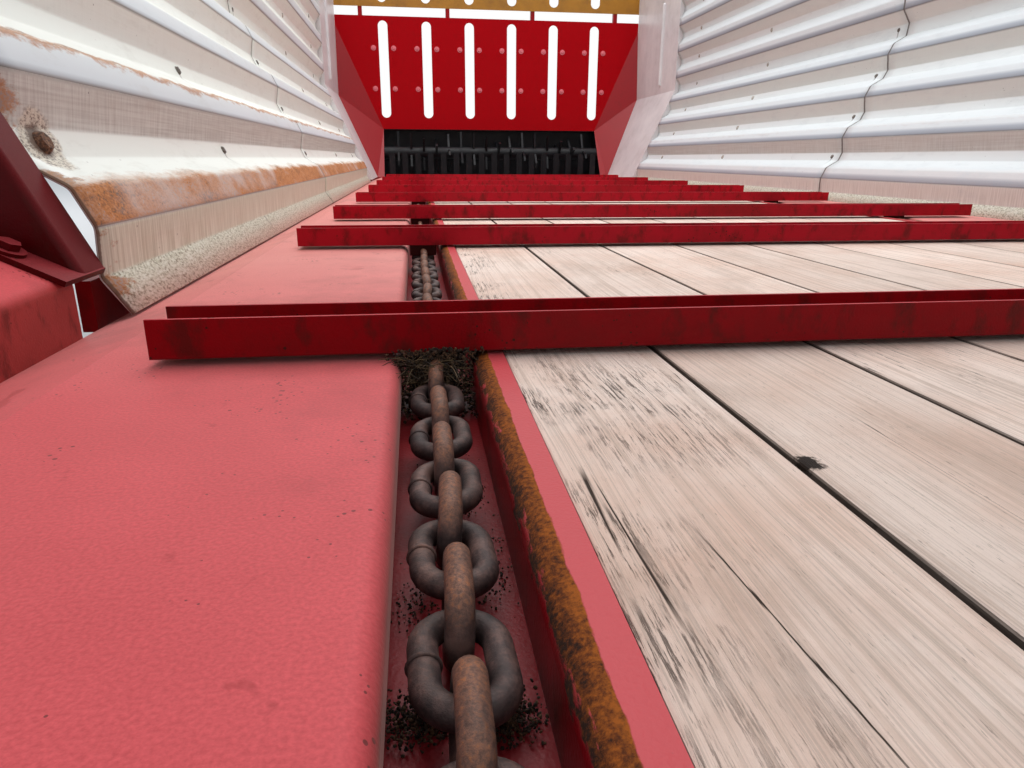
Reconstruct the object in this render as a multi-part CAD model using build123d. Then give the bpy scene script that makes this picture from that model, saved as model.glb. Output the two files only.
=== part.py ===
from build123d import *
import math
import os

os.makedirs("parts", exist_ok=True)

# Load bed of a loader wagon: a scraper floor between corrugated side walls,
# a slotted front wall over the feed mouth and a hooded tailgate, swung up.
# X is across, +Y is towards the front, Z is up. The origin lies on the ground
# plane, in the middle of the outline. A station is a distance from the rear end.

# Overall sizes and the frame under the floor, millimetres
BED_LENGTH = 5745
BED_WIDTH = 1738
FLOOR_Z = 225
SILL_HEIGHT = 100
SILL_WIDTH = 60
SILL_WALL = 6
CROSS_WIDTH = 60
CROSS_WALL = 5
CROSS_COUNT = 8
CROSS_FROM = 330
CROSS_TO_SHAFT = 213
PAD_FROM = 900
PAD_TO_END = 1445
PAD_SPACING_X = 28
PAD_SPACING_Y = 160
PAD_HOLE_R = 8.5
PAD_FROM_WEB = 4
FIT = 0.5

# Scraper chains and slats
CHAIN_INSET = 301
LINK_WIRE = 10
LINK_PITCH = 31
LINK_WIDTH = 34
LINKS_PER_SLAT = 20
EVEN_SLATS = 2
LINKS_EARLY = 4
SPROCKET_TEETH = 7
TOOTH_DEPTH = 15
SLAT_END_GAP = 41
SLAT_WIDTH = 46
SLAT_HEIGHT = 26.5
SLAT_WALL = 3
SLAT_LIFT = 5
FIRST_SLAT = 579
REAR_SHAFT_AT = 120
SHAFT_R = 17.5
SHAFT_TO_PLANKS = 60
SHAFT_TO_PLATE = 123
LEAST_PLATE = 78
STUB_OUT = 65
STUB_R = 15
SHAFT_END = 10
DISC_THICK = 4
DISC_GAP = 1
DRUM_GAP = 0.3
HUB_R = 40
BLOCK_HALF = 45
BLOCK_HALF_X = 24
BLOCK_RISE = 8
BLOCK_R = 36
UPRIGHT_FROM = 3
CLIP_HALF = 20
CLIP_GAP = 0.5

# Floor
FIRST_PLANK = 107.5
PLANK_WIDTH = 118
PLANK_GAP = 4
PLANK_TO_RAIL = 1
LEAST_PLANK = 20
FLOOR_FROM = 40
TROUGH_DROP = 34.5
TROUGH_WALL = 3
TROUGH_HALF = 26
TROUGH_TO_WHEEL = 6
RAIL_RISE = 2
PLANK_THICK = TROUGH_DROP + TROUGH_WALL
RAIL_FLANGE = 21.5
PANEL_THICK = 3
FOLD_INSET = 76
PANEL_FALL = 22
PANEL_FLANGE = 38
PANEL_HEM = 20
BEND_R = 10

# Side walls: a sloping lower part, a knee and an upright upper part
FOOT_INSET = 31
WALL_SLOPE = 0.46
KNEE_Z = 550
WALL_TOP_Z = 1500
SHEET_THICK = 3
WAVE_PITCH = 150
WAVE_DEPTH = 28
FIRST_CREASE = 75
WALL_FROM = 790
LIP_X = 10
LIP_Z = 13
HEM_X = 34
HEM_Z = 22
FOOT_RAIL_GAP = 11
FOOT_RAIL_THICK = 14
FOOT_RAIL_FROM_Z = -30
FOOT_RAIL_TO_Z = 19
FOOT_RAIL_SETBACK = 5
WALL_SEAM = 2550
SIDE_PANEL_LENGTH = 870
POST_SPACING = 1010
POST_DEPTH = 50
POST_WIDTH = 50
POST_PLAY = 0.4
POST_FOOT_Z = 20
POST_BEND_Z = 30
POST_KICK_Z = 60
POST_BEFORE_END = 300
END_POST_OFFSET = 10
TOP_RAIL_FROM_HINGE = 40
RAIL_HEIGHT = 60
RAIL_WALL = 4

# Rear corners: a box rail beside the floor, a leaning post and its foot plate
BOX_WIDTH = 100
BOX_DROP = 60
BOX_TOP = 30
BOX_SLOPE = 0.5
BOX_BEND_R = 12
REAR_POST_INSET = 12
REAR_POST_DEPTH = 77
REAR_POST_LENGTH = 44.5
REAR_POST_WEB = 4
REAR_POST_BEND_R = 7
FOOT_PLATE_THICK = 5
FOOT_PLATE_IN = 5
FOOT_PLATE_OUT = 34
FOOT_BOLT_X = 41
FOOT_BOLT_TO_POST = 19
WASHER_R = 14
WASHER_THICK = 3
BOLT_HEAD_R = 9
BOLT_HEAD_HIGH = 6
BOX_TO_POST = 8

# Front wall and feed mouth
WALL_TO_END = 125
FRONT_WALL_THICK = 4
FRAME_DEPTH = 60
TIE_WIDTH = 28
TIE_DEPTH = 30
TIE_LAP = 20
TOP_TUBE_HEIGHT = 45
WING_LENGTH = 246
MOUTH_INSET = 83
MOUTH_TOP_Z = 331
SLOT_COUNT = 6
SLOT_MARGIN = 26
SLOT_WIDTH = 66
SLOT_FROM_Z = 408
SLOT_TO_Z = 1045
RED_WALL_TOP_Z = 1074
CORNER_DROP = 60
KNEE_SETBACK = 60
UPPER_SLOT_FOOT = 28
UPPER_SLOT_HEAD = 50
UPPER_WALL_FROM_Z = 1132
FINGER_COUNT = 17
FINGER_MARGIN = 58
FINGER_WIDTH = 40
FINGER_THICK = 12
FINGER_FROM_LIP = 24
BEAM_WIDTH = 60
MOUTH_PLATE_THICK = 5
FINGER_TOP_Z = 165
ROTOR_BACK = 60
ROTOR_Z = 165
ROTOR_R = 150
ROTOR_TUBE_R = 45
ROTOR_SHAFT_R = 20
ROTOR_STUB = 110
ROTOR_STUB_R = 17.5
TINE_THICK = 14
TINE_ARMS = 3

# Tailgate, swung up; u is its depth behind the hinge, v its drop when shut
HINGE_AT = 650
HINGE_BELOW_TOP = 30
GATE_DEPTH = 665
GATE_DROP = 1430
GATE_TUBE = 40
HINGE_PIN_R = 10

# Values that follow from those above: across, then along, then the chain's loop
GATE_OVERHANG = GATE_DROP - HINGE_AT
Y_REAR = -(BED_LENGTH + GATE_OVERHANG) / 2 + GATE_OVERHANG
SILL_OUT_X = BED_WIDTH / 2
CHAIN_X = SILL_OUT_X - CHAIN_INSET
PANEL_FOLD_X = SILL_OUT_X - FOLD_INSET
SLAT_LENGTH = 2 * (PANEL_FOLD_X - SLAT_END_GAP)
WALL_FOOT_X = SILL_OUT_X - FOOT_INSET
MOUTH_HALF = SILL_OUT_X - MOUTH_INSET
SLOT_PITCH = 2 * (MOUTH_HALF - SLOT_MARGIN) / (SLOT_COUNT - 1)
FINGER_PITCH = 2 * (MOUTH_HALF - FINGER_MARGIN) / (FINGER_COUNT - 1)
SILL_TOP = SILL_HEIGHT
CROSS_TOP = FLOOR_Z - PLANK_THICK
FRONT_WALL_AT = BED_LENGTH - WALL_TO_END
MOUTH_LIP_AT = FRONT_WALL_AT - WING_LENGTH
ROTOR_AT = FRONT_WALL_AT - ROTOR_BACK
WALL_TO = FRONT_WALL_AT - SIDE_PANEL_LENGTH
CHAIN_Z = FLOOR_Z - LINK_WIDTH / 2
SPROCKET_R = SPROCKET_TEETH * 2 * LINK_PITCH / (2 * math.pi)
SHAFT_Z = CHAIN_Z - SPROCKET_R
LONGEST_RUN = MOUTH_LIP_AT - LEAST_PLATE - SHAFT_TO_PLATE - REAR_SHAFT_AT
SLAT_SPACING = LINKS_PER_SLAT * LINK_PITCH
SLAT_COUNT = math.floor((2 * LONGEST_RUN + 2 * math.pi * SPROCKET_R) / SLAT_SPACING + 0.01)
LOOP_LENGTH = SLAT_COUNT * SLAT_SPACING
RUN = (LOOP_LENGTH - 2 * math.pi * SPROCKET_R) / 2
FRONT_SHAFT_AT = REAR_SHAFT_AT + RUN
MOUTH_PLATE_FROM = FRONT_SHAFT_AT + SHAFT_TO_PLATE
FLOOR_TO = FRONT_SHAFT_AT - SHAFT_TO_PLANKS
TROUGH_FROM = REAR_SHAFT_AT + SPROCKET_R + TROUGH_TO_WHEEL
TROUGH_TO = FRONT_SHAFT_AT - SPROCKET_R - TROUGH_TO_WHEEL
KNEE_X = WALL_FOOT_X + WALL_SLOPE * KNEE_Z
SLOPE_COS = 1 / math.hypot(1, WALL_SLOPE)
SLOPE_SIN = WALL_SLOPE * SLOPE_COS
POST_INSET = WAVE_DEPTH + SHEET_THICK + POST_PLAY
HINGE_Z = FLOOR_Z + WALL_TOP_Z - HINGE_BELOW_TOP
RAIL_X0 = KNEE_X + POST_INSET
RAIL_X1 = RAIL_X0 + POST_DEPTH


def at(station):
    return Y_REAR + station


def block(x0, x1, y0, y1, z0, z1):
    size = Box(x1 - x0, y1 - y0, z1 - z0)
    return Pos((x0 + x1) / 2, (y0 + y1) / 2, (z0 + z1) / 2) * size


def along_y(points, y0, y1):
    """A prism with its outline given as (x, z), from y0 to y1."""
    wire = Polyline([(x, y0, z) for x, z in points], close=True)
    return extrude(make_face(wire), amount=y1 - y0, dir=(0, 1, 0))


def along_x(points, x0, x1):
    """A prism with its outline given as (y, z), from x0 to x1."""
    wire = Polyline([(x0, y, z) for y, z in points], close=True)
    return extrude(make_face(wire), amount=x1 - x0, dir=(1, 0, 0))


def rod_x(x0, x1, y, z, radius):
    rod = Cylinder(radius, x1 - x0, rotation=(0, 90, 0))
    return Pos((x0 + x1) / 2, y, z) * rod


def offset_line(points, distance):
    """The same line moved to its right hand by distance, with mitred corners."""
    normals = []
    for (xa, za), (xb, zb) in zip(points, points[1:]):
        length = math.hypot(xb - xa, zb - za)
        normals.append(((zb - za) / length, -(xb - xa) / length))
    moved = []
    for i, (x, z) in enumerate(points):
        before = normals[max(i - 1, 0)]
        after = normals[min(i, len(normals) - 1)]
        scale = distance / (1 + before[0] * after[0] + before[1] * after[1])
        moved.append((x + (before[0] + after[0]) * scale, z + (before[1] + after[1]) * scale))
    return moved


def folded(points, thickness):
    """A closed outline of sheet folded along points, thick to its right hand."""
    return points + offset_line(points, thickness)[::-1]


def edges_at(solid, x, z):
    """Edges along Y whose middle lies at x and z."""
    found = []
    for edge in solid.edges().filter_by(Axis.Y):
        middle = edge.center()
        if abs(middle.X - x) < 0.05 and abs(middle.Z - z) < 0.05:
            found.append(edge)
    return found


def both(solid):
    return {"left": mirror(solid, about=Plane.YZ), "right": solid}


def save(name, shape):
    solids = shape.solids()
    kept = solids[0] if len(solids) == 1 else Compound(children=list(solids))
    export_step(kept, f"parts/{name}.step")


def save_pair(name, right):
    for side, solid in both(right).items():
        save(f"{side}_{name}", solid)


def wall_point(rise, depth):
    """A point of the right wall: rise along it above the floor, depth outward."""
    knee_rise = KNEE_Z / SLOPE_COS
    if rise < knee_rise:
        x = WALL_FOOT_X + rise * SLOPE_SIN + depth * SLOPE_COS
        z = rise * SLOPE_COS - depth * SLOPE_SIN
    else:
        x = KNEE_X + depth
        z = KNEE_Z + rise - knee_rise
    return (x, FLOOR_Z + z)


# Longitudinal sills: C channels, open to the inside, that the bed rests on
sill_y0, sill_y1 = at(0), at(BED_LENGTH)
sill = block(SILL_OUT_X - SILL_WIDTH, SILL_OUT_X, sill_y0, sill_y1, 0, SILL_TOP)
sill_in, sill_web = SILL_OUT_X - SILL_WIDTH, SILL_OUT_X - SILL_WALL
sill -= block(sill_in, sill_web, sill_y0, sill_y1, SILL_WALL, SILL_TOP - SILL_WALL)
PAD_STATIONS = (PAD_FROM, (PAD_FROM + BED_LENGTH - PAD_TO_END) / 2, BED_LENGTH - PAD_TO_END)
PAD_X = SILL_OUT_X - SILL_WIDTH / 2 - PAD_FROM_WEB
for station in PAD_STATIONS:
    for dx in (-PAD_SPACING_X / 2, PAD_SPACING_X / 2):
        for dy in (-PAD_SPACING_Y / 2, PAD_SPACING_Y / 2):
            hole = Cylinder(PAD_HOLE_R, SILL_WALL * 3)
            sill -= Pos(PAD_X + dx, at(station) + dy, SILL_WALL / 2) * hole
save_pair("sill", sill)

# Cross members: C channels between the two runs of the chains
CROSS_STEP = (FRONT_SHAFT_AT - CROSS_TO_SHAFT - CROSS_FROM) / (CROSS_COUNT - 1)
cross = []
for i in range(CROSS_COUNT):
    y0 = at(CROSS_FROM + i * CROSS_STEP) - CROSS_WIDTH / 2
    y1 = y0 + CROSS_WIDTH
    bar = block(-SILL_OUT_X, SILL_OUT_X, y0, y1, SILL_TOP, CROSS_TOP)
    z0, z1 = SILL_TOP + CROSS_WALL, CROSS_TOP - CROSS_WALL
    bar -= block(-SILL_OUT_X, SILL_OUT_X, y0 + CROSS_WALL, y1, z0, z1)
    cross.append(bar)
save("cross_members", Compound(children=cross))

# Chain troughs: folded sheet whose inner edge stands up as the chain's rail
trough_floor = FLOOR_Z - TROUGH_DROP
inner_x = CHAIN_X - TROUGH_HALF
rail_z = FLOOR_Z + RAIL_RISE
trough_line = [
    (inner_x - RAIL_FLANGE, rail_z),
    (inner_x, rail_z),
    (inner_x, trough_floor),
    (CHAIN_X + TROUGH_HALF, trough_floor),
    (CHAIN_X + TROUGH_HALF, FLOOR_Z - BEND_R - RAIL_RISE),
]
trough = along_y(folded(trough_line, TROUGH_WALL), at(TROUGH_FROM), at(TROUGH_TO))
trough = fillet(edges_at(trough, inner_x - TROUGH_WALL, rail_z - TROUGH_WALL), BEND_R - TROUGH_WALL)
trough = fillet(edges_at(trough, inner_x, rail_z), BEND_R)
save_pair("chain_trough", trough)
RAIL_EDGE_X = inner_x - RAIL_FLANGE

# Edge panels: folded sheet between each trough and its side wall
panel_x0 = CHAIN_X + TROUGH_HALF - PANEL_THICK
panel_line = [
    (panel_x0, FLOOR_Z - PANEL_HEM),
    (panel_x0, FLOOR_Z),
    (PANEL_FOLD_X, FLOOR_Z),
    (SILL_OUT_X + PANEL_THICK, FLOOR_Z - PANEL_FALL),
    (SILL_OUT_X + PANEL_THICK, FLOOR_Z - PANEL_FALL - PANEL_FLANGE),
]
panel = along_y(folded(panel_line, PANEL_THICK), at(FLOOR_FROM), at(MOUTH_LIP_AT))
panel = fillet(edges_at(panel, panel_x0 + PANEL_THICK, FLOOR_Z - PANEL_THICK), BEND_R - PANEL_THICK)
panel = fillet(edges_at(panel, panel_x0, FLOOR_Z), BEND_R)
save_pair("edge_panel", panel)

# Floor planks, the first and the last one ripped to fill the width
planks = []
plank_x = -RAIL_EDGE_X + PLANK_TO_RAIL
while plank_x < RAIL_EDGE_X - LEAST_PLANK:
    width = PLANK_WIDTH if planks else FIRST_PLANK
    plank_to = min(plank_x + width, RAIL_EDGE_X - PLANK_TO_RAIL)
    plank_y = (at(FLOOR_FROM), at(FLOOR_TO))
    planks.append(block(plank_x, plank_to, *plank_y, FLOOR_Z - PLANK_THICK, FLOOR_Z))
    plank_x = plank_to + PLANK_GAP
save("floor_planks", Compound(children=planks))

# Scraper chains: a closed band with every second link standing up from it
half_link = LINK_WIDTH / 2
ARC_STEPS = 10


def racetrack(radius):
    """The outline in (y, z) of a belt around both shafts at this radius."""
    points = []
    for centre, turn_from in ((FRONT_SHAFT_AT, 90), (REAR_SHAFT_AT, 270)):
        for i in range(ARC_STEPS + 1):
            angle = math.radians(turn_from - 180 * i / ARC_STEPS)
            points.append((at(centre) + radius * math.cos(angle), SHAFT_Z + radius * math.sin(angle)))
    return points


def chain_place(travel):
    """Centre line point and slope of the chain at a travel from the rear shaft's top."""
    arc = math.pi * SPROCKET_R
    travel = travel % LOOP_LENGTH
    if travel < RUN:
        return at(REAR_SHAFT_AT) + travel, CHAIN_Z, 0.0
    if travel < RUN + arc:
        angle = math.pi / 2 - (travel - RUN) / SPROCKET_R
        y = at(FRONT_SHAFT_AT) + SPROCKET_R * math.cos(angle)
        return y, SHAFT_Z + SPROCKET_R * math.sin(angle), math.degrees(angle) - 90
    if travel < 2 * RUN + arc:
        return at(FRONT_SHAFT_AT) - (travel - RUN - arc), SHAFT_Z - SPROCKET_R, 180.0
    angle = -math.pi / 2 - (travel - 2 * RUN - arc) / SPROCKET_R
    y = at(REAR_SHAFT_AT) + SPROCKET_R * math.cos(angle)
    return y, SHAFT_Z + SPROCKET_R * math.sin(angle), math.degrees(angle) - 90


def on_chain(shape, travel):
    """A shape made at the origin, up being outward, moved to its place on the chain."""
    y, z, turn = chain_place(travel)
    return Pos(0, y, z) * Rot(turn, 0, 0) * shape


# The band is flat at the height of the lying links' upper face
band_out = SPROCKET_R + LINK_WIRE / 2
band_in = SPROCKET_R - half_link
outer = along_x(racetrack(band_out), CHAIN_X - half_link, CHAIN_X + half_link)
inner = along_x(racetrack(band_in), CHAIN_X - half_link - 1, CHAIN_X + half_link + 1)
chain = outer - inner
link_length = LINK_PITCH + LINK_WIRE
link_half = LINK_WIRE / 2
first_upright = FIRST_SLAT - REAR_SHAFT_AT + LINK_PITCH
uprights = []
for i in range(SLAT_COUNT * LINKS_PER_SLAT // 2):
    travel = first_upright + 2 * LINK_PITCH * i
    lug_x, lug_y = (CHAIN_X - link_half, CHAIN_X + link_half), (-link_length / 2, link_length / 2)
    lug = block(*lug_x, *lug_y, UPRIGHT_FROM, half_link)
    uprights.append(on_chain(lug, travel))
chain = chain.fuse(*uprights)
save_pair("scraper_chain", chain)

# Scraper slats: U channels, open outward, each on a clip over a lying link.
# From the third on they sit some links nearer the rear than even steps would be
slat = block(-SLAT_LENGTH / 2, SLAT_LENGTH / 2, -SLAT_WIDTH / 2, SLAT_WIDTH / 2, 0, SLAT_HEIGHT)
slat_in = SLAT_WIDTH / 2 - SLAT_WALL
slat -= block(-SLAT_LENGTH, SLAT_LENGTH, -slat_in, slat_in, SLAT_WALL, 2 * SLAT_HEIGHT)
slat = Pos(0, 0, half_link + SLAT_LIFT) * slat
CLIP_LENGTH = 2 * (LINK_PITCH - CLIP_GAP) - link_length
for x in (-CHAIN_X, CHAIN_X):
    clip_y = (-CLIP_LENGTH / 2, CLIP_LENGTH / 2)
    slat += block(x - CLIP_HALF, x + CLIP_HALF, *clip_y, link_half, half_link + SLAT_LIFT)
top_slats = []
return_slats = []
for i in range(SLAT_COUNT):
    links = i * LINKS_PER_SLAT - (LINKS_EARLY if i >= EVEN_SLATS else 0)
    travel = FIRST_SLAT - REAR_SHAFT_AT + links * LINK_PITCH
    placed = on_chain(slat, travel)
    if travel % LOOP_LENGTH < RUN:
        top_slats.append(placed)
    else:
        return_slats.append(placed)
save("floor_slats", Compound(children=top_slats))
save("returning_slats", Compound(children=return_slats))

# Shafts with a pair of toothed discs at each chain, in pillow blocks on the sills
TOOTH_STEP = 2 * math.pi / SPROCKET_TEETH
# columns: share of a tooth's step, depth below the tips
TOOTH = ((-0.2, 0), (0.2, 0), (0.36, TOOTH_DEPTH), (0.64, TOOTH_DEPTH))


def toothed_outline(y):
    """The outline in (y, z) of a toothed disc on the shaft at y."""
    points = []
    for i in range(SPROCKET_TEETH):
        for share, depth in TOOTH:
            angle = (i + share) * TOOTH_STEP
            radius = SPROCKET_R - depth
            points.append((y + radius * math.cos(angle), SHAFT_Z + radius * math.sin(angle)))
    return points


drum_r = band_in * math.cos(math.pi / 2 / ARC_STEPS) - DRUM_GAP
for name, station, stub in (("rear", REAR_SHAFT_AT, STUB_OUT), ("front", FRONT_SHAFT_AT, 0)):
    y = at(station)
    shaft = rod_x(-SILL_OUT_X - SHAFT_END, SILL_OUT_X, y, SHAFT_Z, SHAFT_R)
    if stub:
        stub_x = -SILL_OUT_X - SHAFT_END
        shaft += rod_x(stub_x - stub, stub_x, y, SHAFT_Z, STUB_R)
    for x in (-CHAIN_X, CHAIN_X):
        shaft += rod_x(x - half_link, x + half_link, y, SHAFT_Z, drum_r)
        for x0 in (x - half_link - DISC_GAP - DISC_THICK, x + half_link + DISC_GAP):
            shaft += along_x(toothed_outline(y), x0, x0 + DISC_THICK)
            shaft += rod_x(min(x0, x), max(x0 + DISC_THICK, x), y, SHAFT_Z, HUB_R)
    save(f"{name}_chain_shaft", shaft)
    bearings = []
    for side in (-1, 1):
        middle = side * (SILL_OUT_X - SILL_WIDTH / 2)
        x0, x1 = middle - BLOCK_HALF_X, middle + BLOCK_HALF_X
        pillow = block(x0, x1, y - BLOCK_HALF, y + BLOCK_HALF, SILL_TOP, SHAFT_Z + BLOCK_RISE)
        pillow += rod_x(x0, x1, y, SHAFT_Z, BLOCK_R)
        pillow -= rod_x(x0 - FIT, x1 + FIT, y, SHAFT_Z, SHAFT_R)
        bearings.append(pillow)
    save(f"{name}_shaft_bearings", Compound(children=bearings))

# Side walls: trapezoidal sheet, creases along Y, from a table of one wave
# columns: rise above the wave's inner crease, depth outward
WAVE = ((0, 0), (38, 0), (78, WAVE_DEPTH), (109, WAVE_DEPTH))
wall_line = [(WALL_FOOT_X + LIP_X, FLOOR_Z - LIP_Z), (WALL_FOOT_X + HEM_X, FLOOR_Z + HEM_Z)]
rise = FIRST_CREASE
while rise < WALL_TOP_Z:
    for step, depth in WAVE:
        wall_line.append(wall_point(rise + step, depth))
    rise += WAVE_PITCH
wall_line = [point for point in wall_line if point[1] < FLOOR_Z + WALL_TOP_Z]
wall_outline = folded(wall_line, SHEET_THICK)
save_pair("wall_sheet_rear", along_y(wall_outline, at(WALL_FROM), at(WALL_SEAM)))
save_pair("wall_sheet_front", along_y(wall_outline, at(WALL_SEAM), at(WALL_TO)))


# Posts behind the sheets, from the sill's outer side up to the top rail
def wall_offset(depth):
    """The wall's plain line, moved outward by depth, from the floor up."""
    shift = depth / SLOPE_COS
    knee_z = KNEE_Z - depth * (1 - SLOPE_COS) / SLOPE_SIN
    return [(WALL_FOOT_X + shift, FLOOR_Z), (KNEE_X + depth, FLOOR_Z + knee_z)]


post_top = FLOOR_Z + WALL_TOP_Z - RAIL_HEIGHT
inside = wall_offset(POST_INSET)
outside = wall_offset(POST_INSET + POST_DEPTH)
foot_x = SILL_OUT_X + PANEL_THICK
post_line = [
    (foot_x, POST_FOOT_Z),
    (foot_x, FLOOR_Z - POST_BEND_Z),
    inside[0],
    inside[1],
    (RAIL_X0, post_top),
    (RAIL_X1, post_top),
    outside[1],
    outside[0],
    (foot_x + POST_DEPTH, FLOOR_Z - POST_KICK_Z),
    (foot_x + POST_DEPTH, POST_FOOT_Z),
]
POST_STATIONS = (
    WALL_SEAM - POST_SPACING,
    WALL_SEAM,
    WALL_SEAM + POST_SPACING,
    WALL_TO - POST_BEFORE_END,
    WALL_TO + END_POST_OFFSET,
)
foot_rail_x = WALL_FOOT_X + HEM_X + FOOT_RAIL_GAP
foot_rail_z = (FLOOR_Z + FOOT_RAIL_FROM_Z, FLOOR_Z + FOOT_RAIL_TO_Z)
foot_rail_y = (at(WALL_FROM + FOOT_RAIL_SETBACK), at(WALL_TO))
wall_frame = block(foot_rail_x, foot_rail_x + FOOT_RAIL_THICK, *foot_rail_y, *foot_rail_z)
for station in POST_STATIONS:
    wall_frame += along_y(post_line, at(station) - POST_WIDTH / 2, at(station) + POST_WIDTH / 2)
save_pair("wall_posts", wall_frame)
top_rail_y = (at(HINGE_AT + TOP_RAIL_FROM_HINGE), at(BED_LENGTH))
top_rail = block(RAIL_X0, RAIL_X1, *top_rail_y, post_top, post_top + RAIL_HEIGHT)
rail_hole = block(
    RAIL_X0 + RAIL_WALL,
    RAIL_X1 - RAIL_WALL,
    at(HINGE_AT),
    at(BED_LENGTH) + FIT,
    post_top + RAIL_WALL,
    post_top + RAIL_HEIGHT - RAIL_WALL,
)
top_rail -= rail_hole
save_pair("top_rail", top_rail)

# Rear end of each wall: a box rail beside the floor, its top rising outward
def box_top(x):
    return FLOOR_Z + BOX_TOP + BOX_SLOPE * (x - foot_x)


POST_FAR = WALL_FROM - FIT
POST_NEAR = POST_FAR - REAR_POST_LENGTH
box_out = foot_x + BOX_WIDTH
box_line = [
    (foot_x, FLOOR_Z - BOX_DROP),
    (foot_x, box_top(foot_x)),
    (box_out, box_top(box_out)),
    (box_out, FLOOR_Z - BOX_DROP),
]
rear_box = along_y(box_line, at(0), at(POST_NEAR - BOX_TO_POST))
for x in (foot_x, box_out):
    rear_box = fillet(edges_at(rear_box, x, box_top(x)), BOX_BEND_R)
save_pair("rear_box_rail", rear_box)

# A leaning post folded to a U, standing on a plate that lies on the box rail
post_inside = wall_offset(REAR_POST_INSET)
post_outside = wall_offset(REAR_POST_INSET + REAR_POST_DEPTH)
web_line = post_inside + [(KNEE_X + REAR_POST_INSET, post_top)]
out_line = post_outside + [(KNEE_X + REAR_POST_INSET + REAR_POST_DEPTH, post_top)]
y0, y1 = at(POST_NEAR), at(POST_FAR)
rear_post = along_y(web_line + out_line[::-1], y0, y1)
web_middles = [((xa + xb) / 2, (za + zb) / 2) for (xa, za), (xb, zb) in zip(web_line, web_line[1:])]
bends = []
for edge in rear_post.edges():
    middle = edge.center()
    gap = min(math.hypot(middle.X - x, middle.Z - z) for x, z in web_middles)
    if gap < 0.5 and abs(middle.Y - y0) < 0.5:
        bends.append(edge)
rear_post = fillet(bends, REAR_POST_BEND_R)
hollow = offset_line(web_line, REAR_POST_WEB) + offset_line(out_line, REAR_POST_WEB)[::-1]
rear_post -= along_y(hollow, y0 + REAR_POST_WEB, y1 - REAR_POST_WEB)
under_in, under_out = foot_x - BOX_WIDTH, box_out + BOX_WIDTH
under = [(x, box_top(x) + FOOT_PLATE_THICK) for x in (under_out, under_in)]
rear_post -= along_y([(under_in, 0), (under_out, 0)] + under, y0 - FIT, y1 + FIT)
plate_in = foot_x - FOOT_PLATE_IN
plate_line = [(plate_in, box_top(plate_in)), (box_out, box_top(box_out))]
foot_plate = along_y(folded(plate_line, -FOOT_PLATE_THICK), at(POST_NEAR - FOOT_PLATE_OUT), y1)
bolt_x = foot_x + FOOT_BOLT_X
bolt_z = box_top(bolt_x) + FOOT_PLATE_THICK * math.hypot(1, BOX_SLOPE)
lean = math.degrees(math.atan(BOX_SLOPE))
bolt_place = Pos(bolt_x, at(POST_NEAR - FOOT_BOLT_TO_POST), bolt_z)
bolt_head = Cylinder(WASHER_R, WASHER_THICK, align=(Align.CENTER, Align.CENTER, Align.MIN))
bolt_head += extrude(Pos(0, 0, WASHER_THICK) * RegularPolygon(BOLT_HEAD_R, 6), amount=BOLT_HEAD_HIGH)
foot_plate += bolt_place * Rot(0, -lean, 0) * bolt_head
rear_post += foot_plate
save_pair("rear_post", rear_post)

# Smooth side panels from the ribbed sheets to the front wall, with a pressed bead.
# A flange at their rear end closes the ribs' ends off and meets the post there
panel_top = FLOOR_Z + WALL_TOP_Z - 5
bare = [(WALL_FOOT_X, FLOOR_Z), (KNEE_X, FLOOR_Z + KNEE_Z), (KNEE_X, panel_top)]
PANEL_FROM = WALL_TO
side_panel = along_y(folded(bare, -SHEET_THICK), at(PANEL_FROM), at(FRONT_WALL_AT))
BEAD_R = 14
BEAD_LENGTH = 480
BEAD_ABOVE_KNEE = 60
BEAD_AT = PANEL_FROM + 300
bead = Cylinder(BEAD_R, BEAD_LENGTH, align=(Align.CENTER, Align.CENTER, Align.MIN))
bead += Pos(0, 0, BEAD_LENGTH) * Sphere(BEAD_R)
bead += Sphere(BEAD_R)
side_panel += Pos(KNEE_X - SHEET_THICK, at(BEAD_AT), FLOOR_Z + KNEE_Z + BEAD_ABOVE_KNEE) * bead
behind = (KNEE_X, KNEE_X + 2 * BEAD_R)
side_panel -= block(*behind, at(PANEL_FROM), at(FRONT_WALL_AT), FLOOR_Z + KNEE_Z, FLOOR_Z + WALL_TOP_Z)
flange_line = wall_offset(0) + [(KNEE_X, panel_top), (KNEE_X + POST_INSET, panel_top)]
flange_line += wall_offset(POST_INSET)[::-1]
side_panel += along_y(flange_line, at(PANEL_FROM), at(PANEL_FROM) + SHEET_THICK)
save("left_smooth_side_panel", mirror(side_panel, about=Plane.YZ))
side_panel -= rod_x(WALL_FOOT_X, KNEE_X, at(ROTOR_AT), FLOOR_Z + ROTOR_Z, ROTOR_SHAFT_R + 20)
save("right_smooth_side_panel", side_panel)

# Front wall: red sheet with round-ended slots, its lower corners cut for the wings
wall_y = at(FRONT_WALL_AT)
half = KNEE_X - SHEET_THICK - FIT
corner_z = FLOOR_Z + RED_WALL_TOP_Z - CORNER_DROP
front_outline = [
    (MOUTH_HALF, FLOOR_Z + MOUTH_TOP_Z),
    (half, corner_z),
    (half, FLOOR_Z + RED_WALL_TOP_Z),
    (-half, FLOOR_Z + RED_WALL_TOP_Z),
    (-half, corner_z),
    (-MOUTH_HALF, FLOOR_Z + MOUTH_TOP_Z),
]
front_wall = along_y(front_outline, wall_y, wall_y + FRONT_WALL_THICK)
upper_top = FLOOR_Z + WALL_TOP_Z
upper_z = (FLOOR_Z + UPPER_WALL_FROM_Z, upper_top)
upper_wall = block(-half, half, wall_y, wall_y + FRONT_WALL_THICK, *upper_z)


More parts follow.
